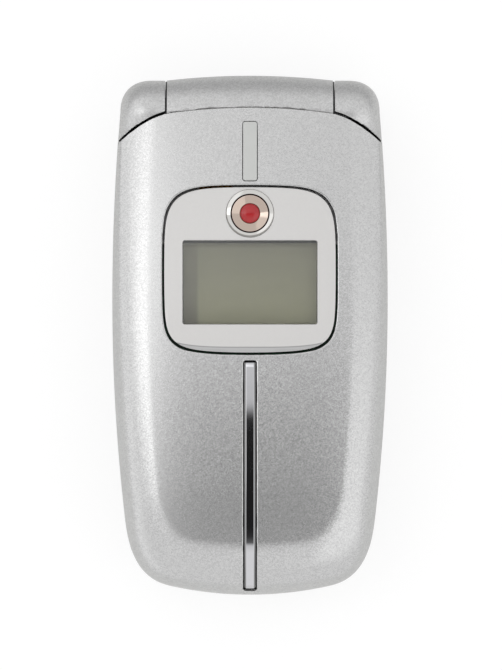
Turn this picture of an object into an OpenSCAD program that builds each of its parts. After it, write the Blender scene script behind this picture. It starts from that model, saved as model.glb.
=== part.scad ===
// Clamshell mobile phone, closed and lying on its back.
// Millimetres, +Z up. The origin is the middle of the overall box at the back face.
// X runs across the phone, and the hinge is at the +Y end.

/* [Body] */
// Length of the closed phone, chin to hinge barrel
body_l = 92; // [88:0.5:98]
// Width at the widest point
body_w = 48.8; // [47.6:0.2:53]
// Thickness of the base, back face to keypad face
base_t = 12.3; // [12.2:0.1:14]
// Thickness of the lid at its crown
lid_t = 9.3; // [9:0.1:10.5]
// Gap between the closed lid and the base
lid_gap = 0.4; // [0.3:0.05:0.7]
// Height of the joint between the base's front and rear covers
base_split_z = 7; // [6.9:0.1:7.4]
// Height of the lid's seam above the lid's inner face
lid_split_h = 2.4; // [2.2:0.1:2.8]

/* [Outline] */
// Distance from the chin to the widest point
widest_from_chin = 52; // [46:1:58]
// Radius of the sides, widest point to chin
side_low_r = 330; // [280:5:420]
// Radius of the sides, widest point to hinge
side_high_r = 400; // [320:10:600]
// Radius of the chin's edge
chin_r = 64; // [52:1:100]
// Power of the corners' superellipse
corner_power = 3; // [2.4:0.1:3.4]
// Radius of the corners at the hinge end
shoulder_corner = 5.5; // [4.5:0.1:6]

/* [Surfaces] */
// Distance from the chin to the lid's highest point
peak_from_chin = 21; // [18:1:26]
// Radius of the lid's crown across its width
cross_r = 130; // [115:5:260]
// Radius of the lid's crown between its highest point and the chin
chin_crown_r = 320; // [250:10:600]
// Width of the lid's rounded edge along the sides
edge_side = 7.2; // [6.4:0.1:8.4]
// Width of the lid's rounded edge at the chin
edge_chin = 10.4; // [9:0.2:12]
// Share of the rounded edge's width that the back's rounding takes
back_share = 0.6; // [0.45:0.05:0.65]
// Height of the rounded edge round the back
back_edge_h = 4.6; // [3.8:0.1:4.8]
// Radius of the back's edge at the hinge end
end_edge_r = 3; // [2:0.1:3.2]
// Distance by which the base's end stands back from the shoulders
end_back = 1.6; // [1:0.1:1.8]

/* [Walls] */
// Wall of the lid's outer cover
lid_wall = 1.4; // [1.2:0.1:1.5]
// Floor of the lid's inner cover
lid_floor = 1.2; // [1.1:0.1:1.4]
// Side wall of the base's covers
base_wall = 1.3; // [1.1:0.1:1.5]
// Keypad face of the front cover
face_t = 1.2; // [1:0.1:1.4]
// Height of the rim round the keypad face
rim_h = 1.5; // [1.2:0.1:2]
// Depth by which the base's sides stand back from its rim
side_step = 0.4; // [0.3:0.05:0.5]
// Back wall of the rear cover and of the battery cover
back_wall = 1.1; // [0.9:0.05:1.2]
// Height of the battery cover's edge
cover_h = 3; // [2.8:0.1:3.2]
// Distance from the hinge axis to the battery cover's upper edge
cover_from_axis = 20.5; // [20:0.25:21]

/* [Hinge] */
// Radius of the lid's hinge barrel at its middle
barrel_r = 6.5; // [6.3:0.05:6.7]
// Radius of the barrel at its ends
barrel_end_r = 5.65; // [5.5:0.05:5.9]
// Length of the barrel
barrel_l = 29.4; // [29:0.1:30.4]
// Radius of the base's shoulders
shoulder_r = 5.7; // [5.5:0.05:5.9]
// Gap round the barrel and the shoulders
hinge_gap = 0.3; // [0.25:0.05:0.4]
// Height of the lid's outer cover above the barrel at their seam
seam_step = 0.25; // [0.15:0.05:0.35]
// Radius of that seam, seen from above
seam_r = 105; // [90:5:200]
// Distance from the hinge axis to the seam, towards the top
seam_from_axis = 0.65; // [0.4:0.05:0.8]
// Radius of the hinge cartridge
can_r = 3.3; // [3.2:0.05:3.5]
// Radius of the hinge shaft
shaft_r = 1.5; // [1.3:0.05:1.6]
// Radius of the hollow bush
bush_r = 2.6; // [2.5:0.05:2.8]
// Radial clearance of the hinge's running fits
hinge_fit = 0.04; // [0.02:0.01:0.08]

/* [Outer display window] */
// Width of the window plate
window_w = 30.8; // [28:0.2:32]
// Length of the window plate
window_l = 29.6; // [29:0.2:30.4]
// Radius of the window plate's corners
window_corner = 5; // [4:0.2:6]
// Radius of the window plate's upper and lower edges
window_end_r = 150; // [120:10:400]
// Radius of the window plate's side edges
window_side_r = 310; // [250:10:600]
// Distance from the light guide to the window plate
window_from_light = 1; // [0.8:0.1:1.6]
// Depth of the window plate at its middle
window_t = 1.8; // [1.7:0.05:1.9]
// Width of the visible display
view_w = 23.9; // [21:0.1:24.4]
// Length of the visible display
view_l = 14.9; // [13:0.1:15.2]
// Distance from the window's middle to the display's middle, towards the chin
view_down = 2.2; // [2:0.1:2.4]
// Gap round the window, the trim and the light guide
trim_gap = 0.2; // [0.1:0.02:0.24]
// Outer radius of the badge ring
badge_r = 4.25; // [4:0.05:4.3]
// Radius of the badge's jewel
jewel_r = 1.7; // [1.4:0.05:1.9]
// Distance from the window's middle to the badge's middle, towards the hinge
badge_up = 10; // [9.9:0.05:10.1]

/* [Lid trim] */
// Width of the light guide
light_w = 2.45; // [2:0.05:2.8]
// Length of the light guide
light_l = 10.4; // [9:0.2:10.6]
// Distance from the hinge axis to the light guide's upper end
light_from_axis = 1.8; // [1.7:0.05:2]
// Width of the bright trim bar
trim_w = 2.3; // [1.9:0.1:2.6]
// Distance from the window plate to the trim bar's upper end
trim_from_window = 1.6; // [1:0.1:4]
// Thickness of the trim bar
trim_t = 0.8; // [0.6:0.05:0.9]
// Height of the window, trim and light guide above the lid
proud = 0.08; // [0.02:0.02:0.14]

/* [Inner display] */
// Width of the display module
display_w = 36; // [33:0.5:36.5]
// Length of the display module
display_l = 46; // [43:0.5:46.5]
// Thickness of the display module
display_t = 2; // [1.8:0.1:2.1]
// Distance from the chin to the earpiece's middle
ear_from_chin = 11; // [10.5:0.25:12]
// Distance from the earpiece's middle to the display module
ear_from_display = 5; // [4.5:0.25:5.5]
// Overlap of the inner cover on the display's edge
display_lap = 3; // [2:0.2:3.4]
// Thickness of the inner window plate
inner_window_t = 0.8; // [0.6:0.05:0.9]
// Margin of the inner window plate round its opening
inner_window_lap = 1.6; // [1:0.1:1.8]

/* [Keypad] */
// Width of a number key
key_w = 11.4; // [10:0.1:11.5]
// Length of a number key
key_l = 6.2; // [5:0.1:6.4]
// Spacing of the keys across the phone
key_pitch_x = 13; // [12.8:0.05:13.1]
// Spacing of the keys along the phone
key_pitch_y = 8.5; // [8.3:0.05:8.6]
// Distance from the chin to the lowest row's middle
keys_from_chin = 17.5; // [17.2:0.1:18]
// Radius of a key's corners
key_corner = 1.6; // [1:0.1:2]
// Travel of a key
key_travel = 0.4; // [0.3:0.05:0.45]
// Clearance round a key
key_gap = 0.12; // [0.1:0.01:0.16]
// Radius of the navigation ring
nav_r = 9.2; // [8.6:0.1:9.4]
// Radius of the select key
ok_r = 3.9; // [3.2:0.1:4.2]
// Width of a soft, call or end key
side_key_w = 7.6; // [7:0.1:7.8]
// Length of a soft, call or end key
side_key_l = 5; // [4.4:0.1:5.2]
// Length of the volume rocker
rocker_l = 12; // [10:0.5:13]
// Height of the volume rocker
rocker_h = 2.6; // [2.2:0.1:2.7]

/* [Inside] */
// Thickness of the main circuit board
board_t = 0.8; // [0.6:0.1:0.8]
// Distance from the chin to the battery
battery_from_chin = 10; // [9.5:0.5:12]
// Thickness of the battery
battery_t = 4.8; // [4:0.1:4.8]
// Radius of the headset plug's hole
jack_r = 1.27; // [1.25:0.01:1.3]
// Depth of the headset plug's hole
jack_depth = 11; // [10:0.5:12]
// Radius of the vibration motor
motor_r = 2; // [1.8:0.05:2]
// Radius of the screws' shanks
screw_r = 0.7; // [0.6:0.05:0.8]
// Clearance between seated pieces
seat_gap = 0.1; // [0.06:0.01:0.12]

/* [Hidden] */
NUMBER_KEYS = ["key_1", "key_2", "key_3", "key_4", "key_5", "key_6", "key_7", "key_8", "key_9",
    "key_star", "key_0", "key_hash"];

silver = [0.78, 0.78, 0.79];
pale_grey = [0.82, 0.82, 0.81];
dark_grey = [0.25, 0.25, 0.27];
steel = [0.7, 0.7, 0.72];
brass = [0.8, 0.65, 0.35];
board_green = [0.1, 0.35, 0.2];
black = [0.08, 0.08, 0.09];
red = [0.75, 0.1, 0.1];

// Length that reaches past every piece, and past a face that a cut goes through
far = 200;
over = 1;
arc_fn = 64;

// Levels and places that several pieces share
chin_y = -body_l / 2;
widest_y = chin_y + widest_from_chin;
axis_y = body_l / 2 - barrel_r;
axis_z = base_t + lid_gap / 2;
lid_z = base_t + lid_gap;
lid_split_z = lid_z + lid_split_h;
lid_floor_z = lid_z + lid_floor;
peak_z = lid_z + lid_t;
peak_y = chin_y + peak_from_chin;
crown_drop = peak_z - axis_z - barrel_r - seam_step;
lid_share = 0.9;

half_barrel = barrel_l / 2;
shoulder_in = half_barrel + hinge_gap;
trough_r = barrel_r + seam_step + hinge_gap;
trough_wall = 0.8;
lid_clear_r = shoulder_r + hinge_gap;
lid_solid_y = axis_y - barrel_r - 0.6;
base_solid_y = axis_y - trough_r - trough_wall;
shoulder_x = body_w / 2 - pow(axis_y - widest_y, 2) / (2 * side_high_r);
base_end_y = axis_y + shoulder_r - end_back;

light_y = axis_y - light_from_axis - light_l / 2;
window_y = light_y - light_l / 2 - window_from_light - window_l / 2;
window_z = peak_z - crown_drop * pow((window_y - peak_y) / (axis_y - peak_y), 2) - window_t;
view_y = window_y - view_down;
badge_y = window_y + badge_up;
trim_y = window_y - window_l / 2 - trim_from_window;
ear_y = chin_y + ear_from_chin;
display_y = ear_y + ear_from_display + display_l / 2;

cover_y = axis_y - cover_from_axis;
deck_z = cover_h + seat_gap;
deck_t = 1.2;
deck_top = deck_z + deck_t;
bay_roof = base_split_z - 0.8;
board_top = base_t - face_t - 2.2;
board_bottom = board_top - board_t;
board_low_y = chin_y + 11.5;
board_high_y = base_solid_y - 0.6;
face_bottom = base_t - face_t;
flange_h = 0.4;
flange_out = 0.5;
flange_top = face_bottom - seat_gap;
flange_bottom = flange_top - flange_h;
mat_top = flange_bottom - key_travel - seat_gap;
dome_sheet_t = 0.25;
mat_bottom = board_top + dome_sheet_t;
key_rise = 0.15;

// Rows of the number keys, lowest first, and the keys round the navigation ring
number_y = chin_y + keys_from_chin;
nav_y = number_y + 3 * key_pitch_y + key_l / 2 + nav_r + 3;
side_key_x = nav_r + 2.4 + side_key_w / 2;
side_key_dy = 5.4;

// Screws: under the lid's inner face, and under the battery cover
post_r = 1.9;
post_from_wall = 0.55;
lid_high_y = lid_solid_y - 7;
low_screw_up = 7.6;
lid_low_screw = [14, chin_y + low_screw_up];
lid_high_screw = [side_x(lid_high_y) - lid_wall - post_r - 4 * post_from_wall, lid_high_y];
base_low_screw = [14.6, chin_y + low_screw_up];
base_high_screw = [side_x(nav_y) - side_step - base_wall - post_r - post_from_wall, nav_y];
board_half_w = base_high_screw[0] - post_r - seat_gap;
lid_screw_places = [for (s = [-1, 1], p = [lid_low_screw, lid_high_screw]) [s * p[0], p[1]]];
base_screw_places = [for (s = [-1, 1], p = [base_low_screw, base_high_screw]) [s * p[0], p[1]]];
screw_fit = 0.02;
screw_clear = 0.15;
head_r = 1.4;
head_h = 0.6;
lid_head_z = lid_z + 0.1;
base_head_z = deck_z + 0.1;

jack_y = cover_y + 7;
jack_z = 5.2;
nose_r = 2.1;
motor_y = jack_y;
motor_z = jack_z + 0.1;

// ---- Outline and crowned surface -------------------------------------------------------

// Half width of the outline at y, before its corners
function side_x(y) = body_w / 2
    - pow(y - widest_y, 2) / (2 * (y < widest_y ? side_low_r : side_high_r));

// The chin's edge at x, before its corners
function chin_at(x) = chin_y + x * x / (2 * chin_r);

// Distance measure of the corners: 1 on the outline and 0 where the edge's rounding ends
function level(a, b) = pow(pow(a, corner_power) + pow(b, corner_power), 1 / corner_power);

// Place of the edge's shares a (from the side) and b (from the chin)
function spot(a, b, inset, y = 0, steps = 4) =
    let (x = side_x(y) - inset - (1 - a) * (edge_side - inset),
        y2 = chin_at(x) + inset + (1 - b) * (edge_chin - inset))
    steps == 0 ? [x, y2] : spot(a, b, inset, y2, steps - 1);

// Right half of the ring at level c, from the end at y_end down the side to the chin's middle
function half_ring(c, inset, y_end, side_n, corner_n, chin_n) =
    let (start = spot(c, 0, inset), last = spot(0, c, inset))
    concat(
        [for (i = [0 : side_n]) let (y = y_end + (start[1] - y_end) * i / side_n)
            [side_x(y) - inset - (1 - c) * (edge_side - inset), y]],
        [for (j = [1 : corner_n]) let (t = 90 * j / corner_n, k = c / level(cos(t), sin(t)))
            spot(k * cos(t), k * sin(t), inset)],
        [for (j = [1 : chin_n]) let (x = last[0] * (1 - j / chin_n))
            [x, chin_at(x) + inset + (1 - c) * (edge_chin - inset)]]);

// The whole outline, moved inwards by inset, open straight across at y_end
function outline(inset, y_end, side_n = 12, corner_n = 8, chin_n = 4) =
    let (half = half_ring(1, inset, y_end, side_n, corner_n, chin_n), last = len(half) - 1)
    concat(half, [for (i = [last - 1 : -1 : 0]) [-half[i][0], half[i][1]]]);

// Height of the lid's crown before its edges fall
function crown_z(x, y) = peak_z - x * x / (2 * cross_r)
    - (y > peak_y ? crown_drop * pow((y - peak_y) / (axis_y - peak_y), 2)
        : pow(y - peak_y, 2) / (2 * chin_crown_r));

// Solid under the lid's crowned surface, or, upside down, over the base's rounded back
module crowned(inset, z_low, y_end, is_lid = true, side_n = 10, corner_n = 7, chin_n = 3,
    ring_n = 6, across_n = 8) {
    depth = is_lid ? inset : 0;
    share = is_lid ? lid_share : back_share;
    z_edge = is_lid ? lid_split_z : -back_edge_h;
    last = side_n + corner_n + chin_n;
    rings = [for (k = [0 : ring_n]) half_ring(1 - share * (1 - cos(90 * k / ring_n)), inset,
        y_end, side_n, corner_n, chin_n)];
    function height(x, y, k) = z_edge + sin(90 * k / ring_n)
        * ((is_lid ? crown_z(x, y) : 0) - depth - z_edge);
    left = [for (i = [0 : last], k = [0 : ring_n]) let (p = rings[k][i])
        [-p[0], p[1], height(p[0], p[1], k)]];
    right = [for (i = [0 : last - 1], k = [0 : ring_n]) let (p = rings[k][i])
        [p[0], p[1], height(p[0], p[1], k)]];
    middle = [for (i = [0 : last - 1], j = [1 : across_n - 1])
        let (p = rings[ring_n][i], x = p[0] * (2 * j / across_n - 1))
        [x, p[1], height(x, p[1], ring_n)]];
    foot_left = [for (i = [0 : last]) [-rings[0][i][0], rings[0][i][1], z_low]];
    foot_right = [for (i = [0 : last - 1]) [rings[0][i][0], rings[0][i][1], z_low]];
    per_row = ring_n + 1;
    right_at = len(left);
    middle_at = right_at + len(right);
    foot_left_at = middle_at + len(middle);
    foot_right_at = foot_left_at + len(foot_left);
    columns = 2 * ring_n + across_n;
    function at(i, j) = j <= ring_n ? i * per_row + j
        : j < ring_n + across_n ? middle_at + i * (across_n - 1) + j - ring_n - 1
        : i == last ? i * per_row + columns - j
        : right_at + i * per_row + columns - j;
    function foot_r(i) = i == last ? foot_left_at + last : foot_right_at + i;
    top = [for (i = [0 : last - 2], j = [0 : columns - 1])
        each [[at(i, j), at(i, j + 1), at(i + 1, j + 1)], [at(i, j), at(i + 1, j + 1), at(i + 1, j)]]];
    tip_ring = at(last, ring_n);
    tip = [for (j = [0 : columns - 1])
        each (j >= ring_n && j < ring_n + across_n
            ? [[at(last - 1, j), at(last - 1, j + 1), tip_ring]]
            : [[at(last - 1, j), at(last - 1, j + 1), at(last, j + 1)],
                [at(last - 1, j), at(last, j + 1), at(last, j)]])];
    side = [for (i = [0 : last - 1])
        each [[at(i, 0), at(i + 1, 0), foot_left_at + i + 1, foot_left_at + i],
            [at(i + 1, columns), at(i, columns), foot_r(i), foot_r(i + 1)]]];
    end_face = concat([for (j = [columns : -1 : 0]) at(0, j)], [foot_left_at, foot_r(0)]);
    floor_face = concat([for (i = [0 : last]) foot_left_at + i],
        [for (i = [last - 1 : -1 : 0]) foot_r(i)]);
    polyhedron(concat(left, right, middle, foot_left, foot_right),
        concat(top, tip, side, [end_face, floor_face]));
}

// ---- Shapes that repeat ------------------------------------------------------------------

module slab(points, low, high) {
    translate([0, 0, low])
        linear_extrude(high - low)
            polygon(points);
}

module block(x0, x1, y0, y1, z0, z1) {
    translate([x0, y0, z0])
        cube([x1 - x0, y1 - y0, z1 - z0]);
}

module rod_z(r, low, high, x = 0, y = 0) {
    translate([x, y, low])
        cylinder(r = r, h = high - low, $fn = arc_fn);
}

// A round bar along X from x0 to x1, on the hinge axis unless told otherwise
module rod_x(r, x0, x1, y = axis_y, z = axis_z) {
    translate([x0, y, z])
        rotate([0, 90, 0])
            cylinder(r = r, h = x1 - x0, $fn = arc_fn);
}

module round_plan(w, l, r) {
    square([w - 2 * r, l], center = true);
    square([w, l - 2 * r], center = true);
    for (sx = [-1, 1], sy = [-1, 1])
        translate([sx * (w / 2 - r), sy * (l / 2 - r)])
            circle(r, $fn = arc_fn);
}

module round_block(w, l, r, low, high, x = 0, y = 0) {
    translate([x, y, low])
        linear_extrude(high - low)
            round_plan(w, l, r);
}

module ring_z(r_out, r_in, low, high, x = 0, y = 0) {
    difference() {
        rod_z(r_out, low, high, x, y);
        rod_z(r_in, low - over, high + over, x, y);
    }
}

module screw(x, y, head_low, length) {
    rod_z(head_r, head_low, head_low + head_h, x, y);
    rod_z(screw_r, head_low + head_h, head_low + head_h + length, x, y);
}

// ---- Lid ----------------------------------------------------------------------------------

// Region beside the barrel that the shoulders turn in
module shoulder_room(r) {
    for (s = [0, 1])
        mirror([s, 0, 0])
            rod_x(r, half_barrel, far);
}

module barrel_body(grow = 0) {
    arc_r = pow(half_barrel, 2) / (2 * (barrel_r - barrel_end_r));
    translate([0, axis_y, axis_z])
        rotate([0, 90, 0])
            rotate_extrude($fn = arc_fn)
                intersection() {
                    translate([barrel_r + grow - arc_r, 0])
                        circle(arc_r, $fn = 720);
                    translate([0, -half_barrel])
                        square([barrel_r + grow + over, barrel_l]);
                }
}

module window_plan(grow = 0) {
    intersection() {
        round_plan(window_w + 2 * grow, window_l + 2 * grow, window_corner + grow);
        translate([0, window_end_r - window_l / 2])
            circle(window_end_r + grow, $fn = 720);
        translate([0, window_l / 2 - window_end_r])
            circle(window_end_r + grow, $fn = 720);
        translate([window_side_r - window_w / 2, 0])
            circle(window_side_r + grow, $fn = 720);
        translate([window_w / 2 - window_side_r, 0])
            circle(window_side_r + grow, $fn = 720);
    }
}

module light_cut(grow, low) {
    round_block(light_w + 2 * grow, light_l + 2 * grow, 0.4, low, far, 0, light_y);
}

module trim_cut(grow) {
    block(-trim_w / 2 - grow, trim_w / 2 + grow, chin_y - over, trim_y + grow, lid_split_z,
        far);
}

light_z = axis_z + barrel_r - 1.2;
barrel_fit = 0.02;
ledge_w = 2;
cover_posts_low = lid_split_z;
screw_length = 3.4;

module lid_outer_cover() {
    seam_y = axis_y + seam_from_axis;
    color(silver)
    difference() {
        crowned(0, lid_split_z, seam_y);
        difference() {
            crowned(lid_wall, lid_split_z - over, lid_solid_y, side_n = 6, corner_n = 5,
                ring_n = 4, across_n = 4);
            for (p = lid_screw_places)
                rod_z(post_r, cover_posts_low, far, p[0], p[1]);
            round_block(window_w + 2 * ledge_w, window_l + 2 * ledge_w, window_corner + ledge_w,
                window_z - 1, far, 0, window_y);
            round_block(light_w + 2 * ledge_w, light_l + 2 * ledge_w, 1, light_z - 0.8, far,
                0, light_y);
        }
        for (p = lid_screw_places)
            rod_z(screw_r + screw_fit, 0, lid_head_z + head_h + screw_length + 0.2, p[0], p[1]);
        translate([0, window_y, window_z])
            linear_extrude(far)
                window_plan(trim_gap);
        round_block(view_w + 2 * ledge_w, view_l + 2 * ledge_w, 1, 0, far, 0, view_y);
        light_cut(trim_gap, light_z);
        difference() {
            trim_cut(trim_gap);
            crowned(trim_t, 0, axis_y);
        }
        barrel_body(barrel_fit);
        shoulder_room(lid_clear_r);
        difference() {
            block(-far, far, axis_y - over, far, 0, far);
            translate([0, seam_y - seam_r, -over])
                cylinder(r = seam_r, h = far, $fn = 720);
        }
        for (s = [-1, 1])
            translate([s * (half_barrel + far / 2), axis_y + far / 2, 0])
                cube([far, far, far], center = true);
    }
}

module lid_inner_cover() {
    window_in = display_lap - inner_window_lap;
    color(silver)
    union() {
        difference() {
            union() {
                slab(outline(0, axis_y), lid_z, lid_split_z);
                barrel_body();
            }
            slab(outline(lid_wall, lid_solid_y), lid_floor_z, far);
            shoulder_room(lid_clear_r);
            round_block(display_w - 2 * display_lap, display_l - 2 * display_lap, 1, 0, far,
                0, display_y);
            round_block(display_w - 2 * window_in, display_l - 2 * window_in, 2, 0,
                lid_z + inner_window_t + seat_gap, 0, display_y);
            round_block(mesh_w + 2 * seat_gap, mesh_l + 2 * seat_gap, mesh_l / 2, 0, far, 0, ear_y);
            for (p = lid_screw_places) {
                rod_z(screw_r + screw_clear, 0, far, p[0], p[1]);
                rod_z(head_r + screw_clear, 0, lid_head_z + head_h, p[0], p[1]);
            }
            for (p = bumper_places)
                rod_z(bumper_r + seat_gap / 2, 0, lid_z + bumper_sink, p[0], p[1]);
            rod_x(can_r + hinge_fit, can_x0 - seat_gap, far);
            rod_x(bush_r + hinge_fit, -far, can_x0 - 1.5);
            block(can_x0 - seat_gap, far, axis_y - rib_w / 2 - hinge_fit,
                axis_y + rib_w / 2 + hinge_fit, axis_z, axis_z + can_r + rib_h + hinge_fit);
            block(flex_x0 - 0.2, flex_x1 + 0.2, lid_solid_y - over, axis_y, lid_floor_z,
                lid_floor_z + 0.8);
        }
        for (p = lid_screw_places)
            ring_z(post_r, screw_r + screw_clear, lid_floor_z, lid_split_z, p[0], p[1]);
    }
}

module outer_window() {
    color(pale_grey)
    difference() {
        intersection() {
            translate([0, window_y, window_z])
                linear_extrude(far)
                    window_plan();
            crowned(-proud, 0, axis_y);
        }
        rod_z(badge_r + badge_fit, badge_z, far, 0, badge_y);
        round_block(view_w, view_l, 0.4, 0, window_z + view_recess, 0, view_y);
    }
}

view_recess = 0.4;
outer_display_t = 1.8;
outer_display_z = window_z - outer_display_t - 0.1;

module outer_display() {
    margin = 1.4;
    color([0.53, 0.54, 0.47])
    block(-view_w / 2 - margin, view_w / 2 + margin, view_y - view_l / 2 - margin,
        view_y + view_l / 2 + margin, outer_display_z, window_z - 0.1);
}

badge_z = window_z + 0.3;
badge_top = crown_z(0, badge_y) + proud + 0.12;
badge_fit = 0.03;
bowl_depth = 0.75;

module badge_ring() {
    bowl_r = badge_r * 0.8;
    color(steel)
    translate([0, badge_y, 0])
        rotate_extrude($fn = arc_fn)
            polygon([[0, badge_z], [badge_r, badge_z], [badge_r, badge_top - 0.35],
                [badge_r * 0.94, badge_top - 0.12], [bowl_r, badge_top - 0.05],
                [bowl_r - 0.2, badge_top - 0.3], [jewel_r + 0.4, badge_top - bowl_depth],
                [0, badge_top - bowl_depth]]);
}

module badge_jewel() {
    dome = 0.55;
    dome_r = (jewel_r * jewel_r + dome * dome) / (2 * dome);
    low = badge_top - bowl_depth;
    color(red)
    intersection() {
        translate([0, badge_y, low + dome - dome_r])
            sphere(dome_r, $fn = arc_fn);
        rod_z(jewel_r + over, low, far, 0, badge_y);
    }
}

module light_guide() {
    color(pale_grey)
    difference() {
        intersection() {
            light_cut(0, light_z);
            crowned(-proud, 0, axis_y);
        }
        barrel_body(barrel_fit);
    }
}

module trim_bar() {
    color(steel)
    difference() {
        intersection() {
            trim_cut(0);
            crowned(-proud, 0, axis_y);
        }
        crowned(trim_t, 0, axis_y);
    }
}

module inner_window() {
    color(dark_grey)
    round_block(display_w - 2 * (display_lap - inner_window_lap) - 2 * seat_gap,
        display_l - 2 * (display_lap - inner_window_lap) - 2 * seat_gap, 2 - seat_gap,
        lid_z + seat_gap, lid_z + inner_window_t + seat_gap, 0, display_y);
}

module inner_display() {
    color(black)
    block(-display_w / 2, display_w / 2, display_y - display_l / 2, display_y + display_l / 2,
        lid_floor_z, lid_floor_z + display_t);
}

frame_wall = 0.5;
frame_z = lid_floor_z + display_t + 0.3;

module display_frame() {
    out_w = display_w / 2 + seat_gap + frame_wall;
    out_l = display_l / 2 + seat_gap + frame_wall;
    color(steel)
    difference() {
        block(-out_w, out_w, display_y - out_l, display_y + out_l, lid_floor_z, frame_z);
        block(-out_w + frame_wall, out_w - frame_wall, display_y - out_l + frame_wall,
            display_y + out_l - frame_wall, 0, far);
    }
}

lid_board_t = 0.6;

module lid_board() {
    color(board_green)
    block(-out_board_w, out_board_w, display_y - display_l / 2, lid_board_high_y,
        frame_z, frame_z + lid_board_t);
}

out_board_w = display_w / 2 - 1;
lid_board_high_y = display_y + display_l / 2;

ear_r = 3.6;
mesh_w = 9;
mesh_l = 2.4;
mesh_t = 0.5;

module earpiece() {
    color(black)
    union() {
        rod_z(ear_r, lid_floor_z, lid_floor_z + 2, 0, ear_y);
        rod_z(ear_r - 1, lid_floor_z + 2, lid_floor_z + 2.4, 0, ear_y);
    }
}

module earpiece_mesh() {
    color(steel)
    difference() {
        round_block(mesh_w, mesh_l, mesh_l / 2 - seat_gap, lid_z + seat_gap, lid_z + seat_gap + mesh_t,
            0, ear_y);
        for (i = [-3 : 3])
            block(i * 1.1 - 0.25, i * 1.1 + 0.25, ear_y - 0.7, ear_y + 0.7, 0, far);
    }
}

module lid_magnet() {
    color(steel)
    rod_z(1.5, lid_floor_z, lid_floor_z + 1.5, 6, chin_y + 6);
}

bumper_places = [for (s = [-1, 1]) [s * 11, chin_y + 4.2]];
bumper_r = 1.5;
bumper_sink = 0.6;

module lid_bumpers() {
    color(dark_grey)
    for (p = bumper_places)
        rod_z(bumper_r, base_t + seat_gap, lid_z + bumper_sink, p[0], p[1]);
}

module lid_screws() {
    color(steel)
    for (p = lid_screw_places)
        screw(p[0], p[1], lid_head_z, screw_length);
}

// ---- Hinge --------------------------------------------------------------------------------

can_x0 = 0.6;
can_x1 = half_barrel - 0.1;
can_wall = 0.5;
cap_t = 1.2;
rib_w = 1;
rib_h = 0.5;
spring_x0 = can_x0 + can_wall + 0.1;
spring_l = 6.2;
follower_x0 = spring_x0 + spring_l + 0.05;
follower_t = 1.5;
bump_h = 0.5;
cam_x0 = follower_x0 + follower_t + bump_h + seat_gap;
cam_t = 1.4;
drive_l = 3.4;
drive_w = 2;

module hinge_can() {
    color(steel)
    difference() {
        union() {
            rod_x(can_r, can_x0, can_x1);
            block(can_x0, can_x1, axis_y - rib_w / 2, axis_y + rib_w / 2, axis_z + can_r - 0.3,
                axis_z + can_r + rib_h);
        }
        rod_x(can_r - can_wall, can_x0 + can_wall, can_x1 - cap_t);
        rod_x(shaft_r + hinge_fit, 0, far);
    }
}

// Coil of round wire along the hinge axis, with six sides to the wire
module hinge_spring() {
    wire_r = 0.42;
    coil_r = can_r - can_wall - wire_r - 0.15;
    turns = 4;
    steps = 40;
    sides = 6;
    pitch = (spring_l - 2 * wire_r) / turns;
    points = [for (i = [0 : steps], j = [0 : sides - 1])
        let (t = 360 * turns * i / steps, r = coil_r + wire_r * cos(60 * j))
        [spring_x0 + wire_r + pitch * turns * i / steps + wire_r * sin(60 * j),
            axis_y + r * cos(t), axis_z + r * sin(t)]];
    walls = [for (i = [0 : steps - 1], j = [0 : sides - 1])
        let (a = i * sides + j, b = i * sides + (j + 1) % sides)
        each [[a, b, b + sides], [a, b + sides, a + sides]]];
    color(steel)
    polyhedron(points, concat(walls, [[for (j = [sides - 1 : -1 : 0]) j],
        [for (j = [0 : sides - 1]) steps * sides + j]]));
}

module hinge_follower() {
    color(brass)
    union() {
        rod_x(can_r - can_wall - 0.05, follower_x0, follower_x0 + follower_t);
        for (s = [-1, 1])
            rod_x(0.6, follower_x0 + follower_t - 0.1, follower_x0 + follower_t + bump_h,
                axis_y + s * 1.7, axis_z);
    }
}

module hinge_shaft() {
    color(steel)
    union() {
        rod_x(can_r - can_wall - 0.1, cam_x0, cam_x0 + cam_t);
        rod_x(shaft_r, cam_x0 + cam_t - 0.1, shoulder_in);
        block(shoulder_in - 0.2, shoulder_in + drive_l, axis_y - drive_w / 2, axis_y + drive_w / 2,
            axis_z - drive_w / 2, axis_z + drive_w / 2);
    }
}

bush_hole = 1.9;
bush_l = 7.4;
bush_x0 = -shoulder_in - bush_l / 2;
bush_x1 = bush_x0 + bush_l;

module hinge_bush() {
    color(black)
    difference() {
        rod_x(bush_r, bush_x0, bush_x1);
        rod_x(bush_hole, -far, 0);
    }
}

flex_x0 = -9;
flex_x1 = -3;
flex_r = 1.4;
flex_t = 0.25;
flex_z = lid_floor_z + 0.05;

module flex_cable() {
    color([0.75, 0.45, 0.15])
    union() {
        difference() {
            rod_x(flex_r, bush_x0 + 1, flex_x1);
            rod_x(flex_r - 2 * flex_t, -far, 0);
        }
        block(flex_x0, flex_x1, display_y + display_l / 2 + 1, axis_y, flex_z, flex_z + flex_t);
        block(flex_x0, flex_x1, axis_y - 2 * flex_t, axis_y, axis_z + flex_r - flex_t, flex_z);
    }
}

// ---- Base ---------------------------------------------------------------------------------

// Plan of the whole base, with rounded corners at the hinge end
module end_plan(end_y) {
    intersection() {
        polygon(outline(0, end_y));
        union() {
            translate([0, end_y - body_l / 2])
                round_plan(2 * shoulder_x, body_l, shoulder_corner);
            translate([-body_w, -body_l])
                square([2 * body_w, body_l + end_y - shoulder_corner]);
        }
    }
}

module end_trim(end_y) {
    translate([0, 0, -over])
        linear_extrude(far)
            end_plan(end_y);
}

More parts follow.
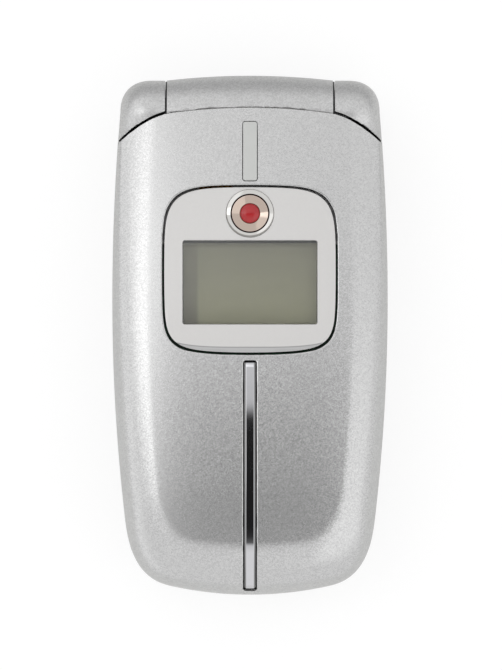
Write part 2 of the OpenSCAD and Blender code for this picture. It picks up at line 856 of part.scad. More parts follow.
// Side view of the shoulders' outer ends: a quarter round over each
module shoulder_ends() {
    r = shoulder_r;
    translate([0, far, axis_z])
        rotate([90, 0, 0])
            linear_extrude(2 * far) {
                translate([-shoulder_x + r, -far])
                    square([2 * (shoulder_x - r), 2 * far]);
                translate([-far, -far])
                    square([2 * far, far - lid_gap]);
                for (s = [-1, 1])
                    translate([s * (shoulder_x - r), 0])
                        circle(r, $fn = arc_fn);
            }
}

module trough_cut() {
    rod_x(trough_r, -shoulder_in, shoulder_in);
}

// A key's cap, or the hole that it needs in the face
module key_holes() {
    for (i = [0 : 11])
        let (p = number_place(i))
        round_block(key_w + 2 * key_gap, key_l + 2 * key_gap, key_corner + key_gap,
            face_bottom - over, far, p[0], p[1]);
    for (sx = [-1, 1], sy = [-1, 1])
        round_block(side_key_w + 2 * key_gap, side_key_l + 2 * key_gap, key_corner + key_gap,
            face_bottom - over, far, sx * side_key_x, nav_y + sy * side_key_dy);
    rod_z(nav_r + key_gap, face_bottom - over, far, 0, nav_y);
}

module base_front_cover() {
    color(silver)
    union() {
        difference() {
            union() {
                slab(outline(side_step, axis_y), base_split_z, base_t);
                slab(outline(0, axis_y), base_t - rim_h, base_t);
                intersection() {
                    rod_x(shoulder_r, -far, far);
                    block(-far, far, 0, far, base_split_z, far);
                    shoulder_ends();
                    end_trim(axis_y + shoulder_r);
                }
            }
            slab(outline(side_step + base_wall, base_solid_y), 0, face_bottom);
            trough_cut();
            block(-shoulder_in, shoulder_in, axis_y, far, 0, far);
            key_holes();
            rod_z(0.5, 0, far, mic_x, mic_y);
            rod_x(nose_r + seat_gap, 0, far, jack_y, jack_z);
            block(-port_w / 2, port_w / 2, chin_y - over, 0, socket_z0 - seat_gap,
                socket_z1 + seat_gap);
            block(-far, 0, rocker_y - rocker_l / 2 - rocker_gap, rocker_y + rocker_l / 2 + rocker_gap,
                rocker_low - key_gap, rocker_top + key_gap);
            block(shoulder_in - over, shoulder_in + drive_l + seat_gap,
                axis_y - drive_w / 2 - hinge_fit, axis_y + drive_w / 2 + hinge_fit,
                axis_z - drive_w / 2 - hinge_fit, axis_z + drive_w / 2 + hinge_fit);
            rod_x(bush_r + screw_fit, bush_x0 - seat_gap, 0);
        }
        for (p = base_screw_places)
            difference() {
                rod_z(post_r, base_split_z, face_bottom, p[0], p[1]);
                rod_z(screw_r + screw_fit, 0, base_head_z + head_h + base_screw_length + 0.2,
                    p[0], p[1]);
            }
        // Ears that carry the volume rocker's pin
        difference() {
            for (z = [[base_split_z, rocker_low - key_gap],
                [rocker_top + key_gap, face_bottom + seat_gap]])
                block(rocker_inner_x - 2 * rocker_tail, rocker_pin_x + 1,
                    rocker_y - ear_half_w, rocker_y + ear_half_w, z[0], z[1]);
            rod_z(pin_fit + rocker_pin_r, base_split_z - over, face_bottom, rocker_pin_x, rocker_y);
        }
    }
}

base_screw_length = 6;

// Battery bay: the box round the battery, open towards the back
contact_l = 1.3;
contact_w = 9;
bay_gap = 0.15;
bay_wall = 1;
battery_y0 = chin_y + battery_from_chin;
battery_w = 2 * (board_half_w - bay_wall - bay_gap - seat_gap / 2);
battery_l = cover_y - battery_y0 - contact_l - bay_wall - 4 * bay_gap - seat_gap;
bay_w = battery_w + 2 * bay_gap;
bay_y0 = battery_y0 - bay_gap;
bay_y1 = battery_y0 + battery_l + contact_l + 2 * bay_gap;
battery_z = back_wall + seat_gap;

// The whole base's outer shape below the split
module rear_body() {
    intersection() {
        mirror([0, 0, 1])
            crowned(side_step, -base_split_z, base_end_y, is_lid = false);
        union() {
            block(-far, far, -far, base_end_y - end_edge_r, -over, far);
            rod_x(end_edge_r, -far, far, base_end_y - end_edge_r, end_edge_r);
            block(-far, far, 0, base_end_y, end_edge_r, far);
        }
        end_trim(base_end_y);
    }
}

// Room inside the rear cover, over the rounding of the back's edge
edge_inset = 1.3;

module rear_room(y_end) {
    slab(outline(side_step + base_wall, y_end), back_edge_h - 0.4, far);
    slab(outline(side_step + base_wall + edge_inset, y_end - 1), back_wall, far);
}

module base_rear_cover() {
    notch = 1.6;
    color(silver)
    difference() {
        rear_body();
        block(-far, far, -far, cover_y, -over, deck_z);
        difference() {
            rear_room(base_solid_y);
            block(-far, far, -far, cover_y + base_wall, 0, deck_top);
            block(-bay_w / 2 - bay_wall, bay_w / 2 + bay_wall, bay_y0 - bay_wall,
                bay_y1 + bay_wall, 0, base_split_z);
            for (p = base_screw_places)
                rod_z(post_r, 0, base_split_z, p[0], p[1]);
        }
        block(-antenna_w / 2 - seat_gap, antenna_w / 2 + seat_gap, base_solid_y - over,
            antenna_y1 + seat_gap, back_wall, antenna_top + seat_gap);
        block(-sim_w / 2 + sim_rim, sim_w / 2 - sim_rim, sim_y0 - sim_ramp, sim_y1 - sim_rim, 0,
            far);
        block(-bay_w / 2, bay_w / 2, bay_y0, bay_y1 - contact_l - bay_gap, -over, bay_roof);
        block(-contact_w / 2 - seat_gap, contact_w / 2 + seat_gap, 0, bay_y1, -over, bay_roof);
        for (p = base_screw_places) {
            rod_z(screw_r + screw_clear, 0, far, p[0], p[1]);
            rod_z(head_r + screw_clear, 0, base_head_z + head_h, p[0], p[1]);
        }
        // Room for the barrel, and for the lid's edge when the phone is open
        trough_cut();
        block(-shoulder_in, shoulder_in, axis_y, far, base_split_z - 0.8, far);
        translate([0, axis_y + notch, base_split_z])
            rotate([-35, 0, 0])
                block(-far, far, 0, far, 0, far);
        rod_x(nose_r + seat_gap, 0, far, jack_y, jack_z);
        for (i = [-1.5 : 1.5])
            round_block(7, 0.8, 0.35, -over, back_wall + over, 0, ringer_y + i * 1.7);
    }
}

module battery_cover() {
    color(silver)
    difference() {
        intersection() {
            rear_body();
            block(-far, far, -far, cover_y - seat_gap, -over, cover_h);
        }
        slab(outline(side_step + base_wall + edge_inset, cover_y + over), back_wall, far);
        slab(outline(side_step + base_wall, cover_y + over), back_wall + 0.9, far);
        // Finger grip near the upper edge
        for (i = [0 : 4])
            round_block(12 - i, 0.7, 0.3, -over, 0.35, 0, cover_y - 6 - i * 1.6);
    }
}

module battery() {
    color(dark_grey)
    round_block(battery_w, battery_l, 0.8, battery_z, battery_z + battery_t, 0,
        battery_y0 + battery_l / 2);
}

module battery_contacts() {
    y0 = battery_y0 + battery_l + seat_gap;
    color(brass)
    union() {
        block(-contact_w / 2, contact_w / 2, y0 + 0.4, y0 + contact_l, bay_roof - 2.6, bay_roof - 0.1);
        for (i = [-1 : 1])
            block(i * 2.6 - 0.5, i * 2.6 + 0.5, y0, y0 + 0.5, bay_roof - 2, bay_roof - 0.8);
    }
}

module main_board() {
    color(board_green)
    difference() {
        block(-board_half_w, board_half_w, board_low_y, board_high_y, board_bottom, board_top);
        round_block(8, 3, 0.5, 0, far, 0, board_low_y);
    }
}

module dome_sheet() {
    base = 0.1;
    color(pale_grey)
    union() {
        block(-board_half_w, board_half_w, board_low_y + 2.4, board_high_y - 2, board_top,
            board_top + base);
        for (p = key_places)
            rod_z(2, board_top, board_top + dome_sheet_t - 0.05, p[0], p[1]);
    }
}

mat_back = 1.7;
mat_corner = 1.5;

module keypad_mat() {
    color(pale_grey)
    round_block(2 * board_half_w, board_high_y - board_low_y - 2 * mat_back, mat_corner, mat_bottom,
        mat_top, 0, (board_high_y + board_low_y) / 2);
}

// Holder of the small card under the board, and the roof's opening to it
sim_w = 27;
sim_l = 16.5;
sim_y0 = board_low_y + 9.5;
sim_y1 = sim_y0 + sim_l;
sim_rim = 0.9;
sim_ramp = 3;

// Cans under the board: middle and length
can_w = 2 * board_half_w - 6.4;
low_can_l = 5;
high_can_l = 17;
can_gap = 4.5;
can_plans = [[sim_y1 + can_gap + high_can_l / 2, high_can_l],
    [sim_y0 - sim_ramp - low_can_l / 2 - seat_gap, low_can_l]];
can_sheet = 0.2;
under_board = base_split_z + seat_gap / 2;

module shield_cans() {
    color(steel)
    for (c = can_plans)
        difference() {
            round_block(can_w, c[1], 0.6, under_board, board_bottom, 0, c[0]);
            round_block(can_w - 2 * can_sheet, c[1] - 2 * can_sheet, 0.4, under_board + can_sheet,
                board_bottom + over, 0, c[0]);
        }
}

module sim_holder() {
    color(steel)
    difference() {
        block(-sim_w / 2, sim_w / 2, sim_y0, sim_y1, under_board, board_bottom);
        block(-sim_w / 2 + sim_rim, sim_w / 2 - sim_rim, sim_y0 - over, sim_y1 - sim_rim,
            under_board + 0.15, board_bottom - 0.05);
    }
}

mic_x = -9;
mic_y = chin_y + 5.2;

module microphone() {
    color(brass)
    union() {
        rod_z(2, board_bottom, face_bottom - 1, mic_x, mic_y);
        rod_z(1.2, board_bottom, face_bottom, mic_x, mic_y);
    }
}

socket_z0 = base_split_z + 0.35;
socket_z1 = socket_z0 + 3;
port_w = 9.4;

module charge_socket() {
    y0 = chin_y + side_step + base_wall + 0.1;
    color(black)
    difference() {
        block(-port_w / 2 + seat_gap, port_w / 2 - seat_gap, y0, board_low_y - 1.6, socket_z0,
            socket_z1);
        difference() {
            round_block(port_w - 1, 9, 0.6, socket_z0 + 0.4, socket_z1 - 0.4, 0, y0);
            block(-3.2, 3.2, y0 + 1, 0, socket_z0 + 1.1, socket_z1 - 1.1);
        }
    }
}

module headset_jack() {
    x1 = side_x(jack_y) - side_step;
    x0 = x1 - base_wall - edge_inset - 2 * seat_gap;
    tip = x1 - seat_gap;
    half_w = 2.7;
    half_h = 2.2;
    color(black)
    difference() {
        union() {
            block(tip - jack_depth - 1, x0, jack_y - half_w, jack_y + half_w, jack_z - half_h,
                jack_z + half_h);
            rod_x(nose_r, x0 - seat_gap, tip, jack_y, jack_z);
        }
        rod_x(jack_r, tip - jack_depth, far, jack_y, jack_z);
    }
}

antenna_w = 24;
antenna_l = 9;
antenna_y1 = axis_y + 1.6;
antenna_top = axis_z - trough_r - 1.5;

module antenna() {
    track = 0.3;
    y0 = antenna_y1 - antenna_l;
    color([0.85, 0.82, 0.7])
    union() {
        block(-antenna_w / 2, antenna_w / 2, y0, antenna_y1, back_wall + seat_gap,
            antenna_top - track);
        block(1 - antenna_w / 2, antenna_w / 2 - 1, y0 + 1, antenna_y1 - 1, antenna_top - 2 * track,
            antenna_top);
    }
}

// Motor against the left side, with its weight towards the middle
motor_l = 7.8;
pin_r = 0.4;
weight_l = 2.6;
weight_gap = 0.2;
motor_x0 = -side_x(motor_y) + side_step + base_wall + edge_inset + 0.7;
motor_x1 = motor_x0 + motor_l + weight_l + 2 * weight_gap;

ringer_l = 9.6;
ringer_w = 2 * (-motor_x1 - 1.9);
ringer_y = (cover_y + base_wall + base_solid_y) / 2 - 0.35;
ringer_h = 2.4;
ringer_step = 1;

module ringer() {
    color(black)
    union() {
        round_block(ringer_w, ringer_l, 1.5, back_wall, back_wall + ringer_h, 0, ringer_y);
        round_block(ringer_w - 2 * ringer_step, ringer_l - 2 * ringer_step, 1,
            back_wall + ringer_h, back_wall + ringer_h + ringer_step / 2, 0, ringer_y);
    }
}

module vibration_motor() {
    color(steel)
    union() {
        rod_x(motor_r, motor_x0, motor_x0 + motor_l, motor_y, motor_z);
        rod_x(pin_r, motor_x0 + motor_l - seat_gap, motor_x1, motor_y, motor_z);
        block(motor_x0 + 0.6, motor_x0 + motor_l - 0.6, motor_y - 1, motor_y + 1, motor_z,
            board_bottom);
    }
}

module motor_weight() {
    x0 = motor_x0 + motor_l + weight_gap;
    color(brass)
    difference() {
        union() {
            rod_x(0.9, x0, x0 + weight_l, motor_y, motor_z);
            difference() {
                rod_x(motor_r - 0.1, x0, x0 + weight_l, motor_y, motor_z);
                block(-far, far, -far, far, motor_z, far);
            }
        }
        rod_x(pin_r + 0.03, -far, far, motor_y, motor_z);
    }
}

module base_screws() {
    color(steel)
    for (p = base_screw_places)
        screw(p[0], p[1], base_head_z, base_screw_length);
}

// ---- Keys ---------------------------------------------------------------------------------

// Place of number key i: 1 2 3 in the highest row, then 4 5 6, 7 8 9 and star 0 hash
function number_place(i) = [(i % 3 - 1) * key_pitch_x, number_y + (3 - floor(i / 3)) * key_pitch_y];

key_places = concat([for (i = [0 : 11]) number_place(i)],
    [for (sx = [-1, 1], sy = [-1, 1]) [sx * side_key_x, nav_y + sy * side_key_dy]],
    [[0, nav_y]],
    [for (t = [0, 90, 180, 270], r = (nav_r + ok_r) / 2) [r * cos(t), nav_y + r * sin(t)]]);

module key_cap(w, l, place) {
    color(pale_grey)
    union() {
        round_block(w, l, key_corner, flange_bottom, base_t + key_rise, place[0], place[1]);
        round_block(w + 2 * flange_out, l + 2 * flange_out, key_corner, flange_bottom, flange_top,
            place[0], place[1]);
    }
}

module number_key(i) {
    key_cap(key_w, key_l, number_place(i));
}

module side_key(sx, sy) {
    key_cap(side_key_w, side_key_l, [sx * side_key_x, nav_y + sy * side_key_dy]);
}

module nav_ring() {
    color(pale_grey)
    difference() {
        union() {
            rod_z(nav_r, flange_bottom, base_t + key_rise, 0, nav_y);
            rod_z(nav_r + flange_out, flange_bottom, flange_top, 0, nav_y);
        }
        rod_z(ok_r + key_gap, 0, far, 0, nav_y);
    }
}

module ok_key() {
    color(steel)
    rod_z(ok_r, flange_bottom, base_t + key_rise, 0, nav_y);
}

rocker_y = chin_y + 48;
rocker_z = board_top + 0.35;
rocker_low = rocker_z - rocker_h / 2;
rocker_top = rocker_z + rocker_h / 2;
rocker_gap = 0.25;
rocker_out = 0.3;
rocker_tail = 0.65;
rocker_pin_r = 0.45;
pin_fit = 0.04;
ear_half_w = 1.2;
rocker_face_x = -side_x(rocker_y) + side_step - rocker_out;
rocker_inner_x = -side_x(rocker_y) + side_step + base_wall + rocker_tail;
rocker_pin_x = rocker_inner_x + rocker_tail / 2;

module volume_rocker() {
    color(pale_grey)
    union() {
        block(rocker_face_x, rocker_inner_x + rocker_tail, rocker_y - rocker_l / 2,
            rocker_y + rocker_l / 2, rocker_low, rocker_top);
        block(rocker_inner_x, rocker_inner_x + rocker_tail, rocker_y - rocker_l / 2 - 0.7,
            rocker_y + rocker_l / 2 + 0.7, rocker_low, rocker_top);
        rod_z(rocker_pin_r, rocker_low - 0.5, rocker_top + 0.4, rocker_pin_x, rocker_y);
    }
}

number_key(0);  // key_1
number_key(1);  // key_2
number_key(2);  // key_3
number_key(3);  // key_4
number_key(4);  // key_5
number_key(5);  // key_6
number_key(6);  // key_7
number_key(7);  // key_8
number_key(8);  // key_9
number_key(9);  // key_star
number_key(10);  // key_0
number_key(11);  // key_hash
side_key(-1, 1);  // soft_key_left
side_key(1, 1);  // soft_key_right
side_key(-1, -1);  // call_key
side_key(1, -1);  // end_key
nav_ring();
ok_key();
volume_rocker();
lid_outer_cover();
lid_inner_cover();
outer_window();
outer_display();
badge_ring();
badge_jewel();
light_guide();
trim_bar();
inner_window();
inner_display();
display_frame();
lid_board();
earpiece();
earpiece_mesh();
lid_magnet();
lid_bumpers();
lid_screws();
hinge_can();
hinge_spring();
hinge_follower();
hinge_shaft();
hinge_bush();
flex_cable();
base_front_cover();
base_rear_cover();
battery_cover();
battery();
battery_contacts();
main_board();
dome_sheet();
keypad_mat();
shield_cans();
sim_holder();
microphone();
charge_socket();
headset_jack();
antenna();
ringer();
vibration_motor();
motor_weight();
base_screws();
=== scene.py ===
import math

import bpy
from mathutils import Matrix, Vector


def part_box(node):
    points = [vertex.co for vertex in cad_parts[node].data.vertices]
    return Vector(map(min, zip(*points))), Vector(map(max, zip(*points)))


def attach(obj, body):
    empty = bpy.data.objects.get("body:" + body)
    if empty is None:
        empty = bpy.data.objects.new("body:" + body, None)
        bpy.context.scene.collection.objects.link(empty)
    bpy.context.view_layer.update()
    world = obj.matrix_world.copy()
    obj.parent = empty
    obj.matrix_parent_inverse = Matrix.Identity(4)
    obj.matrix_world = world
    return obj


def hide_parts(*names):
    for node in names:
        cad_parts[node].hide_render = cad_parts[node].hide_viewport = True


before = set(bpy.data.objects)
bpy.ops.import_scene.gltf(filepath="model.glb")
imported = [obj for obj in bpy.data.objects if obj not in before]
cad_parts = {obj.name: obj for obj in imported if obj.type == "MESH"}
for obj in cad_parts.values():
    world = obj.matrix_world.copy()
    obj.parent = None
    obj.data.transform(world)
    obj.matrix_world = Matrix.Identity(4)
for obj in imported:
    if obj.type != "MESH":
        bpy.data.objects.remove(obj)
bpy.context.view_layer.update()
bpy.context.scene.view_settings.view_transform = "Standard"


# ---- Camera, floor and light -----------------------------------------
# The closed phone lies on its back on a white floor and is seen from straight above. One soft
# light surrounds it: a bright panel on its left, an even sky, and a dark patch over the camera.

shown_height = 0.1188
camera_height = 2.0
rim_level = 0.0135

bpy.ops.object.camera_add(location=(0.00018, 0, camera_height), rotation=(0, 0, 0))
camera = bpy.context.object
camera.data.sensor_fit = "VERTICAL"
camera.data.sensor_height = 24
camera.data.lens = 24 * (camera_height - rim_level) / shown_height
bpy.context.scene.camera = camera


def wire(tree, kind, inputs=None, **settings):
    """Adds a node, sets its options and fills its inputs with values or with other outputs."""
    made = tree.nodes.new(kind)
    for option, value in settings.items():
        setattr(made, option, value)
    for socket, value in (inputs or {}).items():
        if isinstance(value, bpy.types.NodeSocket):
            tree.links.new(value, made.inputs[socket])
        else:
            made.inputs[socket].default_value = value
    return made


def reckon(tree, operation, first, second=0.0, third=0.0):
    return wire(tree, "ShaderNodeMath", {0: first, 1: second, 2: third}, operation=operation).outputs[0]


def reckon_vector(tree, operation, first, second=(0, 0, 0)):
    """Vector arithmetic. LENGTH and DISTANCE give a number."""
    made = wire(tree, "ShaderNodeVectorMath", {0: first, 1: second}, operation=operation)
    return made.outputs["Value" if operation in ("LENGTH", "DISTANCE") else "Vector"]


def scaled(tree, vector, factor):
    return wire(tree, "ShaderNodeVectorMath", {0: vector, "Scale": factor}, operation="SCALE").outputs[0]


def span(tree, value, low, high, bottom=0.0, top=1.0, curve="LINEAR"):
    """Value, taken from the range low to high to the range bottom to top."""
    return wire(tree, "ShaderNodeMapRange", {"Value": value, "From Min": low, "From Max": high,
        "To Min": bottom, "To Max": top}, interpolation_type=curve).outputs[0]


def between(tree, value, low, high, soft_low, soft_high=None):
    """1 where value lies from low to high, and 0 outside, with soft borders."""
    soft_high = soft_high or soft_low
    rise = span(tree, value, low - soft_low, low + soft_low, 0.0, 1.0, "SMOOTHSTEP")
    fall = span(tree, value, high - soft_high, high + soft_high, 1.0, 0.0, "SMOOTHSTEP")
    return reckon(tree, "MULTIPLY", rise, fall)


def blend_color(tree, share, first, second):
    return wire(tree, "ShaderNodeMix", {0: share, 6: first, 7: second}, data_type="RGBA").outputs[2]


def place_of(tree):
    return wire(tree, "ShaderNodeTexCoord").outputs["Object"]


def part_of(tree, letter):
    """One coordinate, X, Y or Z, of the place on the piece, in metres."""
    return wire(tree, "ShaderNodeSeparateXYZ", {0: place_of(tree)}).outputs[letter]


def speckle(tree, scale, detail=2.0):
    """A fine noise from 0 to 1."""
    return wire(tree, "ShaderNodeTexNoise", {"Vector": place_of(tree), "Scale": scale,
        "Detail": detail}).outputs["Fac"]


def feed(tree, shader, **values):
    """Links values to the shader's sockets, whose names have _ for a space."""
    for socket, value in values.items():
        tree.links.new(value, shader.inputs[socket.replace("_", " ")])


def principled(name, **plain):
    """A material with its shader's plain values set."""
    finish = bpy.data.materials.new(name)
    finish.use_nodes = True
    shader = finish.node_tree.nodes["Principled BSDF"]
    for socket, value in plain.items():
        shader.inputs[socket.replace("_", " ")].default_value = value
    return finish, finish.node_tree, shader


sky_level = 0.95
edge_level = 0.73
dark_level = 0.018
panel_level = 1.35
high_level = 0.6
left_level = 0.25
right_level = 0.35
far_level = -0.38

sky = bpy.data.worlds.new("studio")
bpy.context.scene.world = sky
sky.use_nodes = True
tree = sky.node_tree
tree.nodes.clear()
toward = wire(tree, "ShaderNodeSeparateXYZ", {0: wire(tree, "ShaderNodeTexCoord").outputs["Generated"]})
height = reckon(tree, "MAXIMUM", toward.outputs["Z"], 0.02)
across = reckon(tree, "DIVIDE", toward.outputs["X"], height)
along = reckon(tree, "DIVIDE", toward.outputs["Y"], height)


def patch(across_range, along_range):
    """1 inside a rectangle of directions and 0 outside. A range is low, high and its two softnesses."""
    return reckon(tree, "MULTIPLY", between(tree, across, *across_range), between(tree, along, *along_range))


overhead = (-0.30, 0.33, 0.03, 0.06)
dim = patch(overhead, (-0.26, 0.054, 0.14, 0.02))
dark = patch(overhead, (-0.14, 0.0245, 0.07, 0.0045))
panel = patch((-1.3, -0.28, 0.9, 0.02), (-0.03, 0.2, 0.02, 0.12))
high = patch((-0.32, 0.10, 0.05, 0.25), (0.08, 0.15, 0.02, 0.05))
left = reckon(tree, "MAXIMUM", patch((-9.0, -0.4, 1.0, 0.1), (0.12, 2.0, 0.1, 1.0)),
    patch((-12.0, -2.0, 2.0, 0.6), (-4.0, 2.0, 1.5, 1.0)))
right = patch((0.32, 3.0, 0.04, 1.0), (-1.0, 0.05, 0.4, 0.06))
far = between(tree, along, 2.4, 400.0, 1.6)
level = reckon(tree, "MULTIPLY_ADD", dim, edge_level - sky_level, sky_level)
level = wire(tree, "ShaderNodeMix", {0: dark, 2: level, 3: dark_level}).outputs[0]
for share, added in ((panel, panel_level), (high, high_level), (left, left_level), (right, right_level),
        (far, far_level)):
    level = reckon(tree, "MULTIPLY_ADD", share, added, level)
seen = wire(tree, "ShaderNodeLightPath").outputs["Is Camera Ray"]
level = wire(tree, "ShaderNodeMix", {0: seen, 2: level, 3: 1.0}).outputs[0]
background = wire(tree, "ShaderNodeBackground", {"Color": (1, 1, 1, 1), "Strength": level})
wire(tree, "ShaderNodeOutputWorld", {0: background.outputs[0]})

bpy.ops.object.select_all(action="DESELECT")
bpy.ops.mesh.primitive_plane_add(size=8, location=(0, 0, -0.00004))
floor = bpy.context.object
floor.name = "floor"
floor_finish, tree, shader = principled("floor", Roughness=0.9, Specular_IOR_Level=0.0,
    Emission_Color=(1, 1, 1, 1))
seen = wire(tree, "ShaderNodeLightPath").outputs["Is Camera Ray"]
behind = span(tree, part_of(tree, "Y"), 0.05, 0.09)
shade = blend_color(tree, behind, (0.85, 0.85, 0.84, 1), (0.50, 0.50, 0.50, 1))
feed(tree, shader, Base_Color=blend_color(tree, seen, shade, (0.22, 0.22, 0.22, 1)),
    Emission_Strength=reckon(tree, "MULTIPLY", seen, 0.80))
floor.data.materials.append(floor_finish)


# ---- Lid, outer cover ------------------------------------------------
# The lid's outer shell is moulded plastic, 1.4 mm thick, with a crown and rounded edges, and is
# sprayed in silver with metal flakes. It is screwed to the inner cover from inside.

chin_y, widest_y, half_w = -46.0, 6.0, 24.4
side_low_r, side_high_r, chin_r = 330.0, 400.0, 64.0
edge_side, edge_chin, corner_spread = 7.2, 10.4, 0.8
through_lid = (14, 30)
shell = 1.4
window_y, opening_half_w, opening_half_l = 11.5, 15.57, 15.03
trench_w, trench_l, trench_y = 2.46, 40.8, -24.9
guide_y = 32.5
axis_y, axis_z = 39.5, 12.5
peak_y, peak_z, crown_drop = -25.0, 22.0, 2.75
cross_r, chin_crown_r = 130.0, 320.0
lid_seam_z, lid_share = 15.1, 0.9
barrel_middle_r, barrel_end_r, barrel_half_l = 6.5, 5.65, 14.7
seam_y, seam_r = axis_y + 0.65, 105.0


def side_x(y):
    """Half width of the phone's outline at y, in millimetres."""
    return half_w - (y - widest_y) ** 2 / (2 * (side_low_r if y < widest_y else side_high_r))


def chin_at(x):
    return chin_y + x * x / (2 * chin_r)


def edge_spot(a, b):
    """A point of the rounded edge, with share a of the side's edge and b of the chin's edge."""
    y = 0.0
    for _ in range(6):
        x = side_x(y) - (1 - a) * edge_side
        y = chin_at(x) + (1 - b) * edge_chin
    return x, y


def half_ring(share, y_end, side_n, corner_n, chin_n):
    """Right half of the ring at that share of the edge, from the hinge end to the chin's middle."""
    drop = corner_spread * (1 - share)
    power = 2.2 + 0.8 * share
    start, last = edge_spot(share, -drop), edge_spot(-drop, share)
    points = []
    for i in range(side_n + 1):
        y = y_end + (start[1] - y_end) * i / side_n
        points.append((side_x(y) - (1 - share) * edge_side, y))
    for j in range(1, corner_n + 1):
        t = math.pi / 2 * j / corner_n
        a, b = math.cos(t), math.sin(t)
        k = (share + drop) / (a ** power + b ** power) ** (1 / power)
        points.append(edge_spot(k * a - drop, k * b - drop))
    for j in range(1, chin_n + 1):
        x = last[0] * (1 - j / chin_n)
        points.append((x, chin_at(x) + (1 - share) * edge_chin))
    return points


def crown(x, y):
    """Height of the lid's top at (x, y), before its edges fall."""
    if y > peak_y:
        fall = crown_drop * ((y - peak_y) / (axis_y - peak_y)) ** 2
    else:
        fall = (y - peak_y) ** 2 / (2 * chin_crown_r)
    return peak_z - x * x / (2 * cross_r) - fall


def draped_grid(name, columns, rows, place):
    """A grid of faces with its points put at place(column, row), in millimetres."""
    bpy.ops.object.select_all(action="DESELECT")
    bpy.ops.mesh.primitive_grid_add(x_subdivisions=columns, y_subdivisions=rows, size=1)
    piece = bpy.context.object
    piece.name = piece.data.name = name
    places = [place(i, j) for j in range(rows + 1) for i in range(columns + 1)]
    piece.data.vertices.foreach_set("co", [c * 0.001 for p in places for c in p])
    piece.data.update()
    return piece


def choose(*pieces):
    """Selects these pieces alone and makes the first one active."""
    bpy.ops.object.select_all(action="DESELECT")
    for piece in pieces:
        piece.select_set(True)
    bpy.context.view_layer.objects.active = pieces[0]


def edit(piece, *steps):
    """Runs edit-mode steps on the whole mesh of one piece."""
    choose(piece)
    bpy.ops.object.mode_set(mode="EDIT")
    bpy.ops.mesh.select_mode(type="VERT")
    bpy.ops.mesh.select_all(action="SELECT")
    for step in steps:
        step()
    bpy.ops.object.mode_set(mode="OBJECT")


def weld():
    bpy.ops.mesh.remove_doubles(threshold=0.000004)


def face_outwards():
    bpy.ops.mesh.normals_make_consistent(inside=False)


def close_ends():
    bpy.ops.mesh.select_all(action="SELECT")
    bpy.ops.mesh.fill_holes(sides=0)
    bpy.ops.mesh.select_all(action="SELECT")


def tower(name, loops):
    """A closed solid through closed loops of points, each with as many points, capped at both ends."""
    around = len(loops[0])
    piece = draped_grid(name, around, len(loops) - 1, lambda i, j: loops[j][i % around])
    edit(piece, weld, close_ends, face_outwards)
    return piece


def apply(piece, kind, **settings):
    """Adds a modifier to the piece and applies it."""
    choose(piece)
    modifier = piece.modifiers.new(kind.lower(), kind)
    for option, value in settings.items():
        setattr(modifier, option, value)
    bpy.ops.object.modifier_apply(modifier=modifier.name)


def cut(piece, tool, operation="DIFFERENCE", inside=1):
    """Cuts the piece with a tool solid, which is used up. The cut faces take material place inside."""
    while len(piece.data.materials) < 2:
        piece.data.materials.append(None)
    tool.data.materials.clear()
    for finish in piece.data.materials:
        tool.data.materials.append(finish)
    tool.data.polygons.foreach_set("material_index", [inside] * len(tool.data.polygons))
    apply(piece, "BOOLEAN", object=tool, operation=operation, solver="MANIFOLD", material_mode="INDEX")
    bpy.data.objects.remove(tool)


def slab(points, low, high, name="tool"):
    return tower(name, [[(x, y, z) for x, y in points] for z in (low, high)])


def box(x0, x1, y0, y1, z0, z1, name="tool"):
    return slab([(x0, y0), (x1, y0), (x1, y1), (x0, y1)], z0, z1, name)


def rounded(w, l, r, x=0.0, y=0.0, steps=8):
    """Points of a rectangle with round corners, counterclockwise."""
    points = []
    for cx, cy, start in ((1, -1, -90), (1, 1, 0), (-1, 1, 90), (-1, -1, 180)):
        for i in range(steps + 1):
            t = math.radians(start + 90 * i / steps)
            points.append((x + cx * (w / 2 - r) + r * math.cos(t), y + cy * (l / 2 - r) + r * math.sin(t)))
    return points


def disc(r, x=0.0, y=0.0, steps=48):
    return [(x + r * math.cos(2 * math.pi * i / steps), y + r * math.sin(2 * math.pi * i / steps))
        for i in range(steps)]


def bar_x(r, x0, x1, name="tool"):
    """A round bar along the hinge axis."""
    return tower(name, [[(x, axis_y + p, axis_z + q) for p, q in disc(r, steps=96)] for x in (x0, x1)])


def crowned_skin(name, y_end, side_n=90, corner_n=40, chin_n=20, ring_n=22, across_n=60):
    """The lid's outer surface as a sheet, from the hinge end to the seam round the chin."""
    rings = []
    for k in range(ring_n + 1):
        t = math.pi / 2 * k / ring_n
        rings.append(half_ring(1 - lid_share * (1 - math.cos(t)), y_end, side_n, corner_n, chin_n))
    last = side_n + corner_n + chin_n
    columns = 2 * ring_n + across_n

    def place(i, j):
        row = last - j
        k = min(i, columns - i, ring_n)
        x, y = rings[k][row]
        if ring_n < i < columns - ring_n:
            x = x * (2 * (i - ring_n) / across_n - 1)
        elif i <= ring_n:
            x = -x
        lift = math.sin(math.pi / 2 * k / ring_n)
        return x, y, lid_seam_z + lift * (crown(x, y) - lid_seam_z)

    return draped_grid(name, columns, last, place)


def barrel_profile(grow=0.0, half_l=barrel_half_l, steps=28):
    """Radius of the barrel along the hinge axis, fullest in its middle."""
    bow_r = barrel_half_l ** 2 / (2 * (barrel_middle_r - barrel_end_r))
    stations = [half_l * (2 * i / steps - 1) for i in range(steps + 1)]
    return [(x, barrel_middle_r + grow - bow_r + math.sqrt(bow_r ** 2 - min(x * x, barrel_half_l ** 2)))
        for x in stations]


def barrel_solid(name, profile):
    return tower(name, [[(x, axis_y + p, axis_z + q) for p, q in disc(r, steps=128)]
        for x, r in profile])


